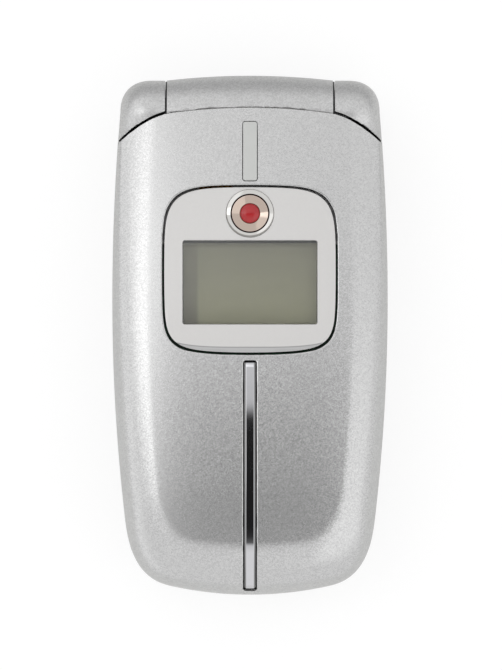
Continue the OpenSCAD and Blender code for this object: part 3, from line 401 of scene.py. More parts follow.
def window_plan(half_w, half_l, steps=160):
    """The window's outline: its edges bow outwards and run smoothly into its corners."""
    points = []
    for i in range(steps):
        t = 2 * math.pi * i / steps
        power, bow = (5.2, 0.55) if math.sin(t) > 0 else (6.6, 0.9)
        c, q = math.cos(t), math.sin(t)
        k = (abs(c) ** power + abs(q) ** power) ** (-1 / power)
        a, b = k * c, k * q
        x = half_w * a * (1 - 0.02 * b * b)
        points.append((x, window_y + half_l * b * (1 - bow / half_l * a * a)))
    return points


def soften(piece, width=0.08, angle=35, segments=2, surface=-1, merge=0.01):
    """Rounds the sharp edges by a little and smooths the shading between them."""
    edit(piece, lambda: bpy.ops.mesh.remove_doubles(threshold=merge * 0.001))
    if width:
        apply(piece, "BEVEL", width=width * 0.001, segments=segments, limit_method="ANGLE",
            angle_limit=math.radians(angle), use_clamp_overlap=True, harden_normals=False,
            material=surface)
    choose(piece)
    bpy.ops.object.shade_smooth_by_angle(angle=math.radians(angle))
    apply(piece, "WEIGHTED_NORMAL", keep_sharp=True, weight=100)


def shader_group(name, inputs, outputs):
    """A node group with the given float, colour or vector sockets, and its inner end nodes."""
    group = bpy.data.node_groups.new(name, "ShaderNodeTree")
    for socket, kind, value in inputs:
        made = group.interface.new_socket(socket, in_out="INPUT", socket_type="NodeSocket" + kind)
        made.default_value = value
    for socket, kind in outputs:
        group.interface.new_socket(socket, in_out="OUTPUT", socket_type="NodeSocket" + kind)
    return group, group.nodes.new("NodeGroupInput").outputs, group.nodes.new("NodeGroupOutput").inputs


# Metal flakes in lacquer: each cell of a fine Voronoi pattern is one flake with its own tilt
flakes, given, out = shader_group("metal flakes",
    [("Color", "Color", (0.6, 0.6, 0.6, 1)), ("Size", "Float", 0.14), ("Contrast", "Float", 0.1),
     ("Tilt", "Float", 0.05)],
    [("Color", "Color"), ("Normal", "Vector"), ("Height", "Float")])
cells = wire(flakes, "ShaderNodeTexVoronoi", {"Vector": place_of(flakes),
    "Scale": reckon(flakes, "DIVIDE", 1000.0, given["Size"])}, voronoi_dimensions="3D")
split = wire(flakes, "ShaderNodeSeparateXYZ", {0: cells.outputs["Color"]})
mottle = speckle(flakes, 1600.0)
value = reckon(flakes, "MULTIPLY_ADD", reckon(flakes, "SUBTRACT", split.outputs[0], 0.5),
    given["Contrast"], 1.0)
value = reckon(flakes, "MULTIPLY_ADD", reckon(flakes, "SUBTRACT", mottle, 0.5), 0.03, value)
flakes.links.new(scaled(flakes, given["Color"], value), out["Color"])
lean = reckon_vector(flakes, "SUBTRACT", cells.outputs["Color"], (0.5, 0.5, 0.5))
facing = wire(flakes, "ShaderNodeNewGeometry").outputs["Normal"]
turned = reckon_vector(flakes, "ADD", facing, scaled(flakes, lean, given["Tilt"]))
flakes.links.new(reckon_vector(flakes, "NORMALIZE", turned), out["Normal"])
flakes.links.new(mottle, out["Height"])


def use_group(tree, group, **values):
    return wire(tree, "ShaderNodeGroup", values, node_tree=group).outputs


def dress(piece, *finishes):
    """Gives the piece its materials; with one, all its faces use it."""
    kept = [min(face.material_index, len(finishes) - 1) for face in piece.data.polygons]
    piece.data.materials.clear()
    for finish in finishes:
        piece.data.materials.append(finish)
    piece.data.polygons.foreach_set("material_index", kept)


def flake_paint(name, smooth, rough, size, contrast, tilt, coat_rough):
    """Silver lacquer with flakes, its roughness from smooth to rough."""
    finish, tree, shader = principled(name, Metallic=0.75, Roughness=(smooth + rough) / 2,
        Coat_Weight=0.1, Coat_Roughness=coat_rough)
    flake = use_group(tree, flakes, Color=(0.56, 0.56, 0.56, 1), Size=size, Contrast=contrast, Tilt=tilt)
    feed(tree, shader, Base_Color=flake["Color"], Normal=flake["Normal"],
        Roughness=span(tree, flake["Height"], 0.0, 1.0, smooth, rough))
    return finish


silver_paint = flake_paint("silver_paint", 0.195, 0.235, 0.18, 0.24, 0.032, 0.15)
soft_silver = flake_paint("soft_silver", 0.31, 0.37, 0.2, 0.26, 0.028, 0.2)


outer_cover = crowned_skin("outer_cover", seam_y)
edit(outer_cover, weld)
bpy.ops.object.shade_smooth()
skin = outer_cover.copy()
skin.data = outer_cover.data.copy()
bpy.context.collection.objects.link(skin)
for _ in range(2):
    outer_cover.data.materials.append(None)
apply(outer_cover, "SOLIDIFY", thickness=shell * 0.001, offset=-1, use_even_offset=False, use_rim=True,
    material_offset=1, material_offset_rim=0)
cut(outer_cover, slab(window_plan(opening_half_w, opening_half_l), *through_lid))
chamfer = [[(x, y, crown(x, y) + lift) for x, y in window_plan(opening_half_w + wide, opening_half_l + wide)]
    for wide, lift in ((-0.03, -0.20), (0.22, 0.0), (0.6, 0.3))]
cut(outer_cover, tower("tool", chamfer), "DIFFERENCE", 0)
cut(outer_cover, slab(rounded(2.75, 10.7, 0.55, 0, guide_y), *through_lid))


def edge_run(inset, low):
    """Side view, at x = 0, of the lid's surface at that depth, from the chin's foot to the window."""
    run = [(chin_y + inset, low)]
    for k in range(0, 25):
        t = math.pi / 2 * k / 24
        y = chin_y + inset + lid_share * (1 - math.cos(t)) * (edge_chin - inset)
        run.append((y, lid_seam_z + math.sin(t) * (crown(0, y) - inset - lid_seam_z)))
    last = run[-1][0]
    return run + [(y, crown(0, y) - inset) for y in (last + (-3.5 - last) * k / 30 for k in range(1, 31))]


def square_to(run, section):
    """Loops for tower along a side-view run. section(i) gives station i's (x, depth) points."""
    loops = []
    for i, (y, z) in enumerate(run):
        (y0, z0), (y1, z1) = run[max(i - 1, 0)], run[min(i + 1, len(run) - 1)]
        long = math.hypot(y1 - y0, z1 - z0)
        ny, nz = -(z1 - z0) / long, (y1 - y0) / long
        loops.append([(x, y - ny * d, z - nz * d) for x, d in section(i)])
    return loops


trench = edge_run(1.0, 14.5) + [(-3.5, 30), (-50, 30), (-50, 14.5)]
trench = tower("tool", [[(x, y, z) for y, z in trench] for x in (-3, 3)])
cut(trench, slab(rounded(trench_w, trench_l, 0.5, 0, trench_y), 10, 40), "INTERSECT")
cut(outer_cover, trench)
run = [p for p in edge_run(0.0, lid_seam_z) if -45.25 < p[0] < -4.6]
run += [(y, crown(0, y)) for y in (-4.5, -4.27)]


def trench_rim(i):
    """(x, depth) points of the tool that chamfers the trench, raised a little at its upper end."""
    up = 0.2 if i == len(run) - 1 else 0.0
    return [(x, d - up) for x, d in ((-1.2, 0.2), (-1.45, 0), (-1.9, -0.36), (1.9, -0.36), (1.45, 0),
        (1.2, 0.2))]


cut(outer_cover, tower("tool", square_to(run, trench_rim)), "DIFFERENCE", 0)
cut(outer_cover, barrel_solid("tool", barrel_profile(0.05, 15.2)))


def room_radius(x):
    """Radius round the hinge axis, inside which the lid leaves room for the shoulder at x."""
    spots = [(0, 5.95), (barrel_half_l, 5.95), (16.2, 5.87), (18, 5.81),
        (19.6, 5.80), (21.3, 5.95), (23.1, 6.35), (24.5, 6.6), (60, 6.6)]
    for (x0, r0), (x1, r1) in zip(spots, spots[1:]):
        if x0 <= x <= x1:
            return r0 + (r1 - r0) * (x - x0) / (x1 - x0)


def room_section(x):
    r = room_radius(abs(x))
    turns = [math.radians(a) for a in range(90, 271, 3)]
    return ([(x, axis_y, 5), (x, 60, 5), (x, 60, 30), (x, axis_y, 30)]
        + [(x, axis_y + r * math.cos(t), axis_z + r * math.sin(t)) for t in turns])


room_x = [barrel_half_l + 0.35 * k for k in range(29)] + [40]
for s in (-1, 1):
    cut(outer_cover, tower("tool", [room_section(s * x) for x in room_x]))
seam_arc = [(x, seam_y - seam_r + math.sqrt(seam_r ** 2 - x * x)) for x in range(-30, 31)]
cut(outer_cover, slab(seam_arc + [(30, 60), (-30, 60)], 5, 30))
soften(outer_cover, 0.10, 40, 2, 0)
apply(outer_cover, "DATA_TRANSFER", object=skin, use_loop_data=True, data_types_loops={"CUSTOM_NORMAL"},
    loop_mapping="POLYINTERP_NEAREST", use_max_distance=True, max_distance=0.00003)
bpy.data.objects.remove(skin)
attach(outer_cover, "lid")
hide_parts("lid_outer_cover")


# Unpainted plastic for the cut faces and the shell's inside, made near-black so that gaps, slots and grooves
# read dark: the moulding's own colour and painted shade in the gaps.
bare_plastic_gap_shade, tree, shader = principled("bare_plastic_gap_shade", Roughness=0.8, Specular_IOR_Level=0.15)
feed(tree, shader, Base_Color=blend_color(tree, speckle(tree, 2500.0, 3.0), (0.010, 0.010, 0.010, 1),
    (0.020, 0.020, 0.019, 1)))
dress(outer_cover, silver_paint, bare_plastic_gap_shade)


# ---- Outer window ----------------------------------------------------
# A pale clear plate, printed behind, sits in an opening of the outer cover and is glued to its
# seat. Its top follows the crown. The display shows through a sunk, bevelled frame in it.

proud = 0.08
window_z, pane_z = 19.32, 19.72
plate_half_w, plate_half_l = 15.14, 14.59
badge_hole_r = 4.28
through_plate = (15, 26)
view_w, view_l, view_y = 23.9, 14.9, 9.3
badge_y = 21.5


def crown_block(name, x1, y0, y1, low, lift, cell=0.5):
    """A block whose top follows the crown, lift above it."""
    columns, rows = max(2, round(2 * x1 / cell)), max(2, round((y1 - y0) / cell))
    top = draped_grid(name, columns, rows, lambda i, j: (x1 * (2 * i / columns - 1),
        y0 + (y1 - y0) * j / rows, 0))
    for v in top.data.vertices:
        v.co.z = 0.001 * (crown(v.co.x * 1000, v.co.y * 1000) + lift)

    def deepen():
        bpy.ops.mesh.extrude_region_move(TRANSFORM_OT_translate={"value": (0, 0, -0.01)})

    edit(top, deepen)
    for v in top.data.vertices:
        if v.co.z < 0.001 * (crown(v.co.x * 1000, v.co.y * 1000) + lift) - 0.005:
            v.co.z = low * 0.001
    edit(top, face_outwards)
    return top


window = crown_block("window", 16.5, -4.5, 27.5, window_z, proud)
cut(window, slab(window_plan(plate_half_w, plate_half_l), *through_plate), "INTERSECT", 0)
cut(window, slab(disc(badge_hole_r, 0, badge_y, 96), *through_plate), "DIFFERENCE", 0)
cut(window, slab(rounded(view_w, view_l, 0.45, 0, view_y), *through_plate), "DIFFERENCE", 0)
# The bevel faces take the second material, a painted edge highlight.
soften(window, 0.2, 40, 2, 1)
pane = crown_block("pane", 16.5, -4.5, 27.5, pane_z, proud - 0.01)
cut(pane, slab(rounded(view_w - 0.04, view_l - 0.04, 0.43, 0, view_y), *through_plate), "INTERSECT")
soften(pane, 0.03, 40, 1)


def frame_level(tree, half_w, half_l, y):
    """Distance outside a rectangle about (0, y), in millimetres, from Object coordinates."""
    dx = reckon(tree, "MULTIPLY_ADD", reckon(tree, "ABSOLUTE", part_of(tree, "X")), 1000.0, -half_w)
    dy = reckon(tree, "ABSOLUTE", reckon(tree, "SUBTRACT", part_of(tree, "Y"), y * 0.001))
    dy = reckon(tree, "MULTIPLY_ADD", dy, 1000.0, -half_l)
    return reckon(tree, "MAXIMUM", dx, dy)


window_plate, tree, shader = principled("window_plate", Roughness=0.12, Coat_Weight=0.4)
flake = use_group(tree, flakes, Color=(0.62, 0.61, 0.60, 1), Size=0.10, Contrast=0.03, Tilt=0.004)
# Painted shade: a darker band along the plate's lower edge stands in for the shading of a bevel step that is
# not modelled.
lip_y, lip_bow = -0.00215, -28000.0
bow = reckon(tree, "MULTIPLY", part_of(tree, "X"), part_of(tree, "X"))
bow = reckon(tree, "MULTIPLY_ADD", reckon(tree, "MULTIPLY", bow, bow), lip_bow,
    reckon(tree, "SUBTRACT", part_of(tree, "Y"), lip_y))
lip_shade = between(tree, bow, -0.01, 0.0, 0.00005)
# Painted shadow: a dark line where that shaded band starts.
step = between(tree, bow, -0.00008, 0.00008, 0.00006)
tone = blend_color(tree, lip_shade, flake["Color"], (0.45, 0.45, 0.45, 1))
tone = blend_color(tree, reckon(tree, "MULTIPLY", step, 0.8), tone, (0.22, 0.22, 0.22, 1))
feed(tree, shader, Base_Color=tone)
# Painted highlight: the bevel faces round the plate's rim, the badge hole and the display's frame get a
# lighter colour than the plate, standing in for the bright lines along these edges.
painted_edge_highlight, tree, shader = principled("painted_edge_highlight", Roughness=0.1, Coat_Weight=0.5)
feed(tree, shader, Base_Color=blend_color(tree, speckle(tree, 900.0), (0.76, 0.76, 0.75, 1),
    (0.84, 0.84, 0.83, 1)))
clear_pane, tree, shader = principled("clear_pane", Base_Color=(0.96, 0.97, 0.96, 1), Roughness=0.0,
    Transmission_Weight=1.0, IOR=1.45)
feed(tree, shader, Roughness=span(tree, speckle(tree, 500.0), 0.0, 1.0, 0.0, 0.03))


def join(piece, *others):
    """Joins other pieces, which keep their own materials, into the first."""
    choose(piece, *others)
    bpy.ops.object.join()


dress(window, window_plate, painted_edge_highlight)
dress(pane, clear_pane)
join(window, pane)
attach(window, "lid")
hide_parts("outer_window")


def finished_copy(node, body, slot, finish, width=0.0, angle=35, segments=2):
    """A welded copy of a CAD node's mesh with its edges softened, which stands for it."""
    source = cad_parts[node]
    bpy.ops.object.select_all(action="DESELECT")
    piece = source.copy()
    piece.data = source.data.copy()
    piece.parent = None
    piece.name = piece.data.name = node + "_finish"
    bpy.context.collection.objects.link(piece)
    piece.data.materials.clear()
    edit(piece, lambda: bpy.ops.mesh.remove_doubles(threshold=0.000001),
        lambda: bpy.ops.mesh.dissolve_limited(angle_limit=math.radians(0.4)))
    soften(piece, width, angle, segments)
    dress(piece, finish)
    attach(piece, body)
    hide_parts(node)
    return piece


# ---- Outer display ---------------------------------------------------
# A small reflective liquid crystal panel behind the window. Switched off, it shows a dull grey-green,
# darker towards the top and in a band at its left. A dark line round its border and a darkening under
# its top edge are painted shadow of the window's frame.

grey_lcd, tree, shader = principled("grey_lcd", Roughness=0.22, Coat_Weight=0.5, Coat_Roughness=0.05)
level_y = part_of(tree, "Y")
lower = span(tree, level_y, 0.0165, 0.002, 0.0, 1.0, "SMOOTHSTEP")
tint = blend_color(tree, lower, (0.375, 0.362, 0.275, 1), (0.465, 0.455, 0.315, 1))
strip = span(tree, part_of(tree, "X"), -0.0088, -0.0098, 0.0, 1.0, "SMOOTHSTEP")
tint = blend_color(tree, strip, tint, (0.31, 0.30, 0.235, 1))
# Painted shadow: a dark line round the display's border, wider along its top, stands in for the frame's
# shadow.
edge_shadow = between(tree, frame_level(tree, view_w / 2 - 0.1, view_l / 2 - 0.1, view_y), -0.03, 2.0, 0.05)
top_edge_shadow = frame_level(tree, view_w / 2 - 0.12, view_l / 2 - 0.12, view_y - 0.35)
top_edge_shadow = reckon(tree, "MULTIPLY", between(tree, top_edge_shadow, 0.0, 2.0, 0.06),
    between(tree, level_y, 0.0021, 1.0, 0.0003))
edge_shadow = reckon(tree, "MULTIPLY", reckon(tree, "MAXIMUM", edge_shadow, top_edge_shadow), 0.9)
tint = blend_color(tree, edge_shadow, tint, (0.03, 0.03, 0.03, 1))
cloud = span(tree, speckle(tree, 900.0), 0.0, 1.0, 0.96, 1.04)
# Painted shadow: darker under the top edge, fading out over about 1.3 mm.
cast_shadow = span(tree, level_y, 0.0153, 0.0166, 1.0, 0.5)
feed(tree, shader, Base_Color=scaled(tree, tint, reckon(tree, "MULTIPLY", cloud, cast_shadow)))
finished_copy("outer_display", "lid", "grey_lcd", grey_lcd, 0.05)


# ---- Badge -----------------------------------------------------------
# A turned and polished chrome cup with a rolled rim is pressed into the window. A plain red
# enamel dome sits in the cup.

def lathe(name, profile, x, y, steps=96):
    """Spins a profile of (radius, height) round an upright axis at (x, y)."""
    bpy.ops.object.select_all(action="DESELECT")
    bpy.ops.mesh.primitive_circle_add(vertices=len(profile), radius=0.001)
    piece = bpy.context.object
    piece.name = piece.data.name = name
    piece.data.vertices.foreach_set("co", [c * 0.001 for r, z in profile for c in (x + r, y, z)])
    piece.data.update()

    def spin():
        bpy.ops.mesh.spin(steps=steps, angle=2 * math.pi, center=(x * 0.001, y * 0.001, 0), axis=(0, 0, 1),
            dupli=False)

    edit(piece, spin, weld, face_outwards)
    return piece


ring_profile = [(3.55, 19.62), (4.2, 19.62), (4.25, 19.7), (4.25, 20.3), (4.2, 20.38), (4.1, 20.43)]
ring_profile += [(3.55, 20.66), (3.45, 20.69), (3.36, 20.66), (3.28, 20.5), (3.2, 20.36)]
ring_profile += [(3.2 - 1.45 * k / 10, 20.36 - 0.03 * k - 0.25 * math.sin(math.radians(6 * k)))
    for k in range(1, 11)]
ring_profile += [(1.5, 19.8), (0.0, 19.8), (0.0, 19.62)]
ring = lathe("ring", ring_profile, 0, badge_y)
soften(ring, 0.0, 24)
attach(ring, "lid")
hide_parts("badge_ring")
cup_chrome, tree, shader = principled("cup_chrome", Metallic=1.0, Roughness=0.08)
spot = reckon_vector(tree, "SUBTRACT", place_of(tree), (0, badge_y * 0.001, 0))
out_r = reckon_vector(tree, "LENGTH", reckon_vector(tree, "MULTIPLY", spot, (1000, 1000, 0)))
# Painted reflection: the bowl inside the ring is tinted warm and darker, standing in for the red dome
# reflected in it.
tone = blend_color(tree, between(tree, out_r, -1, 3.2, 0.1), (0.66, 0.65, 0.63, 1), (0.52, 0.43, 0.37, 1))
# Painted shade: a near-black circle on the ring's crest and its inner fall.
tone = blend_color(tree, between(tree, out_r, 3.22, 3.47, 0.04), tone, (0.02, 0.017, 0.012, 1))
ripple = wire(tree, "ShaderNodeBump", {"Strength": 0.35, "Distance": 0.0002,
    "Height": speckle(tree, 420.0, 1.0)})
feed(tree, shader, Base_Color=tone, Normal=ripple.outputs[0])
dress(ring, cup_chrome)

dome_profile = [(0.0, 19.95), (1.7, 19.95), (1.72, 20.03)]
dome_profile += [(1.7 * math.cos(math.radians(a)), 20.05 + 0.52 * math.sin(math.radians(a)))
    for a in range(10, 90, 10)]
dome_profile += [(0.0, 20.57)]
jewel = lathe("jewel", dome_profile, 0, badge_y, 64)
soften(jewel, 0.0, 50)
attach(jewel, "lid")
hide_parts("badge_jewel")
red_dome, tree, shader = principled("red_dome", Roughness=0.28, Coat_Weight=0.4, Coat_Roughness=0.12)
feed(tree, shader, Base_Color=blend_color(tree, speckle(tree, 1500.0), (0.34, 0.003, 0.007, 1),
    (0.44, 0.006, 0.010, 1)))
dress(jewel, red_dome)


# ---- Light guide -----------------------------------------------------
# A strip of milky clear plastic carries the indicator light from the board to the top of the
# lid. It stands a hair above the paint and ends at the barrel.

guide = crown_block("guide", 2.0, 26.5, 39.0, 17.8, proud, 0.4)
cut(guide, slab(rounded(2.45, 10.4, 0.4, 0, guide_y), *through_plate), "INTERSECT", 0)
cut(guide, barrel_solid("tool", barrel_profile(0.02, 15.2)))
soften(guide, 0.12, 40, 3, 0)
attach(guide, "lid")
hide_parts("light_guide")
milky, tree, shader = principled("light_guide", Roughness=0.25, Coat_Weight=0.5, Coat_Roughness=0.06)
feed(tree, shader, Base_Color=blend_color(tree, speckle(tree, 300.0), (0.51, 0.52, 0.505, 1),
    (0.56, 0.57, 0.555, 1)))
dress(guide, milky)


# ---- Trim bar --------------------------------------------------------
# A chrome-plated strip lies in a trench of the outer cover from below the window to the chin and
# turns down over its edge. Its long edges are bevelled.

bar_half_w, flat_half_w, bar_depth, bevel_depth = 1.02, 0.68, 0.95, 0.26
run = [p for p in edge_run(-proud, lid_seam_z) if -44.95 < p[0] < -5.3]
run = [(-45.02, run[0][1] - 0.35)] + run + [(y, crown(0, y) + proud) for y in (-5.1, -4.85)]


def bar_section(i):
    """The bar's (x, depth) points, bevelled along its edges and drawn in at both ends."""
    end = 0.22 if i in (0, len(run) - 1) else 0.0
    return [(-bar_half_w, bar_depth), (-bar_half_w, bevel_depth), (-flat_half_w + end, end * 0.8),
        (flat_half_w - end, end * 0.8), (bar_half_w, bevel_depth), (bar_half_w, bar_depth)]


bar = tower("bar", square_to(run, bar_section))
soften(bar, 0.04, 30, 2)
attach(bar, "lid")
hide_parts("trim_bar")
bar_chrome, tree, shader = principled("bar_chrome", Metallic=1.0, Roughness=0.03)
rub = speckle(tree, 700.0, 4.0)
# Painted shade: the bevels get a dark grey colour, standing in for darker reflections on them than the
# chrome gives.
bevel_shade = between(tree, reckon(tree, "ABSOLUTE", part_of(tree, "X")), 0.00069, 1.0, 0.00002)
tone = blend_color(tree, rub, (0.62, 0.62, 0.64, 1), (0.66, 0.66, 0.68, 1))
feed(tree, shader, Base_Color=blend_color(tree, bevel_shade, tone, (0.27, 0.27, 0.27, 1)),
    Roughness=span(tree, rub, 0.0, 1.0, 0.02, 0.05))
dress(bar, bar_chrome)


# ---- Lid, inner cover ------------------------------------------------
# The lid's inner half carries the big display's window, the screws and the hinge barrel. It is
# moulded in one piece and sprayed like the rest.

inner_cover = finished_copy("lid_inner_cover", "lid", "silver_paint", soft_silver, 0.0)
groove = []
for x, r in barrel_profile(0.0, 14.69, 80):
    y = seam_y - seam_r + math.sqrt(seam_r ** 2 - x * x)
    low = axis_z + r - 0.5
    groove.append([(x, y, low), (x, y + 0.17, low), (x, y + 0.17, 20), (x, y, 20)])
cut(inner_cover, tower("tool", groove), "DIFFERENCE", 0)
soften(inner_cover, 0.0, 35, 1)
dress(inner_cover, soft_silver)


# ---- Hinge shims -----------------------------------------------------
# A thin black acetal washer at each end of the barrel keeps paint from rubbing on paint. Each is
# free on the hinge and turns with the lid.

black_acetal, tree, shader = principled("black_acetal", Roughness=0.45)
feed(tree, shader, Base_Color=blend_color(tree, speckle(tree, 3000.0), (0.008, 0.008, 0.009, 1),
    (0.016, 0.016, 0.017, 1)))
shim_r, shim_bore_r, shim_in, shim_out = 5.45, 2.85, 14.72, 14.97
for s in (-1, 1):
    shim = bar_x(shim_r, s * shim_in, s * shim_out, name="hinge_shim_" + ("left" if s < 0 else "right"))
    cut(shim, bar_x(shim_bore_r, s * 14.5, s * 15.2))
    soften(shim, 0.05, 40, 1)
    dress(shim, black_acetal)
    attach(shim, "lid")


# ---- Inner window ----------------------------------------------------
# A clear acrylic plate over the main display, printed black behind round the picture's area. It is
# stuck in the face of the inner cover.

grains, given, out = shader_group("two tone grain",
    [("Dark", "Color", (0, 0, 0, 1)), ("Light", "Color", (1, 1, 1, 1)), ("Scale", "Float", 1000.0),
     ("Stretch", "Vector", (1, 1, 1))], [("Color", "Color"), ("Value", "Float")])
drawn = reckon_vector(grains, "MULTIPLY", place_of(grains), given["Stretch"])
noise = wire(grains, "ShaderNodeTexNoise", {"Vector": drawn, "Scale": given["Scale"], "Detail": 3.0})
grains.links.new(blend_color(grains, noise.outputs["Fac"], given["Dark"], given["Light"]), out["Color"])
grains.links.new(noise.outputs["Fac"], out["Value"])


def grained(name, dark, light, scale, smooth, rough, stretch=(1, 1, 1), bump=0.0, **plain):
    """A material whose colour and gloss follow one grain, with its tree, shader and grain."""
    finish, tree, shader = principled(name, **plain)
    grain = use_group(tree, grains, Dark=dark + (1,), Light=light + (1,), Scale=scale, Stretch=stretch)
    feed(tree, shader, Base_Color=grain["Color"], Roughness=span(tree, grain["Value"], 0.3, 0.7, smooth,
        rough))
    if bump:
        feed(tree, shader, Normal=wire(tree, "ShaderNodeBump", {"Strength": bump, "Distance": 0.00005,
            "Height": grain["Value"]}).outputs[0])
    return finish, tree, shader, grain


def mask_over(tree, shader, share, color, below):
    """Lays a second colour over the shader's first where share is 1."""
    feed(tree, shader, Base_Color=blend_color(tree, share, below, color))


picture_area = (14.4, 18.9, -7.0)
dark_window, tree, shader, grain = grained("dark_window", (0.004, 0.004, 0.005), (0.008, 0.008, 0.009),
    400.0, 0.03, 0.07, Coat_Weight=1.0, Coat_Roughness=0.02)
picture = between(tree, frame_level(tree, *picture_area), -60, 0, 0.04)
edge_line = between(tree, frame_level(tree, *picture_area), 0.35, 0.55, 0.04)
mask_over(tree, shader, picture, (0.030, 0.034, 0.046, 1), blend_color(tree, edge_line, grain["Color"],
    (0.05, 0.05, 0.055, 1)))
finished_copy("inner_window", "lid", "dark_window", dark_window, 0.18)


# ---- Inner display ---------------------------------------------------
# The colour panel: glass with a fine grid of picture cells, dark while it is off, in a pressed steel
# frame that holds it against the lid's board.

colour_lcd, tree, shader, grain = grained("colour_lcd", (0.012, 0.013, 0.018), (0.020, 0.022, 0.030),
    900.0, 0.06, 0.12, Coat_Weight=0.6)
cells = wire(tree, "ShaderNodeTexBrick", {"Vector": place_of(tree), "Scale": 1200.0,
    "Color1": (0.03, 0.033, 0.045, 1), "Color2": (0.024, 0.026, 0.036, 1),
    "Mortar": (0.004, 0.004, 0.005, 1), "Mortar Size": 0.06})
mask_over(tree, shader, between(tree, frame_level(tree, *picture_area), -60, 0, 0.04),
    cells.outputs["Color"], grain["Color"])
finished_copy("inner_display", "lid", "colour_lcd", colour_lcd, 0.1)

sheet_steel = grained("sheet_steel", (0.42, 0.42, 0.41), (0.58, 0.58, 0.56), 500.0, 0.26, 0.42, (1, 14, 1),
    Metallic=1.0)[0]
finished_copy("display_frame", "lid", "sheet_steel", sheet_steel, 0.06)


# ---- Lid board -------------------------------------------------------
# A thin green circuit board behind the displays. Tracks show as lighter lines under the mask, and
# bare pads are gold.

circuit_board, tree, shader, grain = grained("circuit_board", (0.006, 0.055, 0.022),
    (0.010, 0.080, 0.032), 600.0, 0.25, 0.4, Coat_Weight=0.3)
edge = wire(tree, "ShaderNodeTexVoronoi", {"Vector": place_of(tree), "Scale": 420.0, "Randomness": 0.55},
    feature="DISTANCE_TO_EDGE")
track = between(tree, edge.outputs["Distance"], -1, 0.05, 0.01)
pad = wire(tree, "ShaderNodeTexVoronoi", {"Vector": place_of(tree), "Scale": 620.0, "Randomness": 0.25})
pads = between(tree, pad.outputs["Distance"], -1, 0.17, 0.02)
tone = blend_color(tree, track, grain["Color"], (0.02, 0.16, 0.06, 1))
feed(tree, shader, Base_Color=blend_color(tree, pads, tone, (0.75, 0.52, 0.18, 1)), Metallic=pads)
finished_copy("lid_board", "lid", "circuit_board", circuit_board, 0.05)


# ---- Earpiece --------------------------------------------------------
# A small round-cornered speaker in black plastic behind a punched steel grille in the lid's face.

black_plastic = grained("black_plastic", (0.010, 0.010, 0.011), (0.022, 0.022, 0.023), 2600.0, 0.38, 0.52,
    bump=0.15)[0]
finished_copy("earpiece", "lid", "black_plastic", black_plastic, 0.15)

dark_mesh, tree, shader, grain = grained("dark_mesh", (0.10, 0.10, 0.10), (0.16, 0.16, 0.16), 1500.0,
    0.3, 0.45, Metallic=0.8)
cell = reckon_vector(tree, "FRACTION", reckon_vector(tree, "MULTIPLY", place_of(tree), (2600, 2600, 0)))
from_middle = reckon_vector(tree, "DISTANCE", cell, (0.5, 0.5, 0))
mask_over(tree, shader, between(tree, from_middle, -1, 0.30, 0.04), (0.004, 0.004, 0.004, 1),
    grain["Color"])
finished_copy("earpiece_mesh", "lid", "dark_mesh", dark_mesh, 0.08)


# ---- Lid magnet ------------------------------------------------------
# A nickel-plated disc magnet that a sensor in the base reads when the phone is shut.

nickel = grained("magnet", (0.46, 0.45, 0.43), (0.58, 0.57, 0.54), 700.0, 0.15, 0.28, Metallic=1.0)[0]
finished_copy("lid_magnet", "lid", "magnet", nickel, 0.12)


# ---- Lid bumpers -----------------------------------------------------
# Two soft rubber pads pressed into the lid's face; the base's rim closes against them.

soft_rubber = grained("soft_rubber", (0.030, 0.030, 0.031), (0.055, 0.055, 0.056), 1800.0, 0.7, 0.9,
    bump=0.2)[0]
finished_copy("lid_bumpers", "lid", "soft_rubber", soft_rubber, 0.15)


# ---- Lid screws ------------------------------------------------------
# Four blackened steel screws from inside hold the lid's halves together. Each head has a cross.

black_screws = grained("black_screws", (0.020, 0.020, 0.021), (0.050, 0.050, 0.052), 1200.0, 0.25, 0.4,
    Metallic=0.9)[0]


def crossed(screws, places, z, reach=1.5, slot_w=0.34, depth=0.35):
    """Sinks a cross-shaped recess in each head whose lower face is at z."""
    for x, y in places:
        for w, l in ((reach, slot_w), (slot_w, reach)):
            cut(screws, box(x - w / 2, x + w / 2, y - l / 2, y + l / 2, z - 0.1, z + depth), "DIFFERENCE", 0)
    soften(screws, 0.05, 40, 1)
    dress(screws, black_screws)


crossed(finished_copy("lid_screws", "lid", "black_screws", black_screws, 0.0), [(s * x, y) for s in (-1, 1)
    for x, y in ((14.0, -38.4), (18.43, 25.4))], 12.8)


# ---- Hinge unit ------------------------------------------------------
# A cam hinge in a steel can fills the barrel's right half: a coil spring pushes a brass follower
# against a shaft whose square end is held by the right shoulder. A plastic bush carries the left.

spring_steel = grained("spring_steel", (0.24, 0.24, 0.25), (0.38, 0.38, 0.39), 900.0, 0.2, 0.34, (6, 1, 1),
    Metallic=1.0)[0]
brass = grained("brass", (0.55, 0.38, 0.13), (0.70, 0.50, 0.20), 800.0, 0.22, 0.36, Metallic=1.0)[0]
for node, body, slot, finish, width in (
        ("hinge_can", "lid", "sheet_steel", sheet_steel, 0.1),
        ("hinge_spring", "lid", "spring_steel", spring_steel, 0.0),
        ("hinge_follower", "lid", "brass", brass, 0.1),
        ("hinge_shaft", "base", "spring_steel", spring_steel, 0.1),
        ("hinge_bush", "base", "black_plastic", black_plastic, 0.1)):
    finished_copy(node, body, slot, finish, width)


# ---- Flex cable ------------------------------------------------------
# An amber film with copper tracks joins the two boards and is rolled up inside the barrel.

flex_film, tree, shader, grain = grained("flex_film", (0.36, 0.15, 0.025), (0.46, 0.20, 0.035), 500.0,
    0.2, 0.32)
tracks = wire(tree, "ShaderNodeTexWave", {"Vector": place_of(tree), "Scale": 360.0}, bands_direction="X")
mask_over(tree, shader, between(tree, tracks.outputs["Fac"], 0.55, 2.0, 0.08), (0.62, 0.30, 0.10, 1),
    grain["Color"])
finished_copy("flex_cable", "lid", "flex_film", flex_film, 0.0)


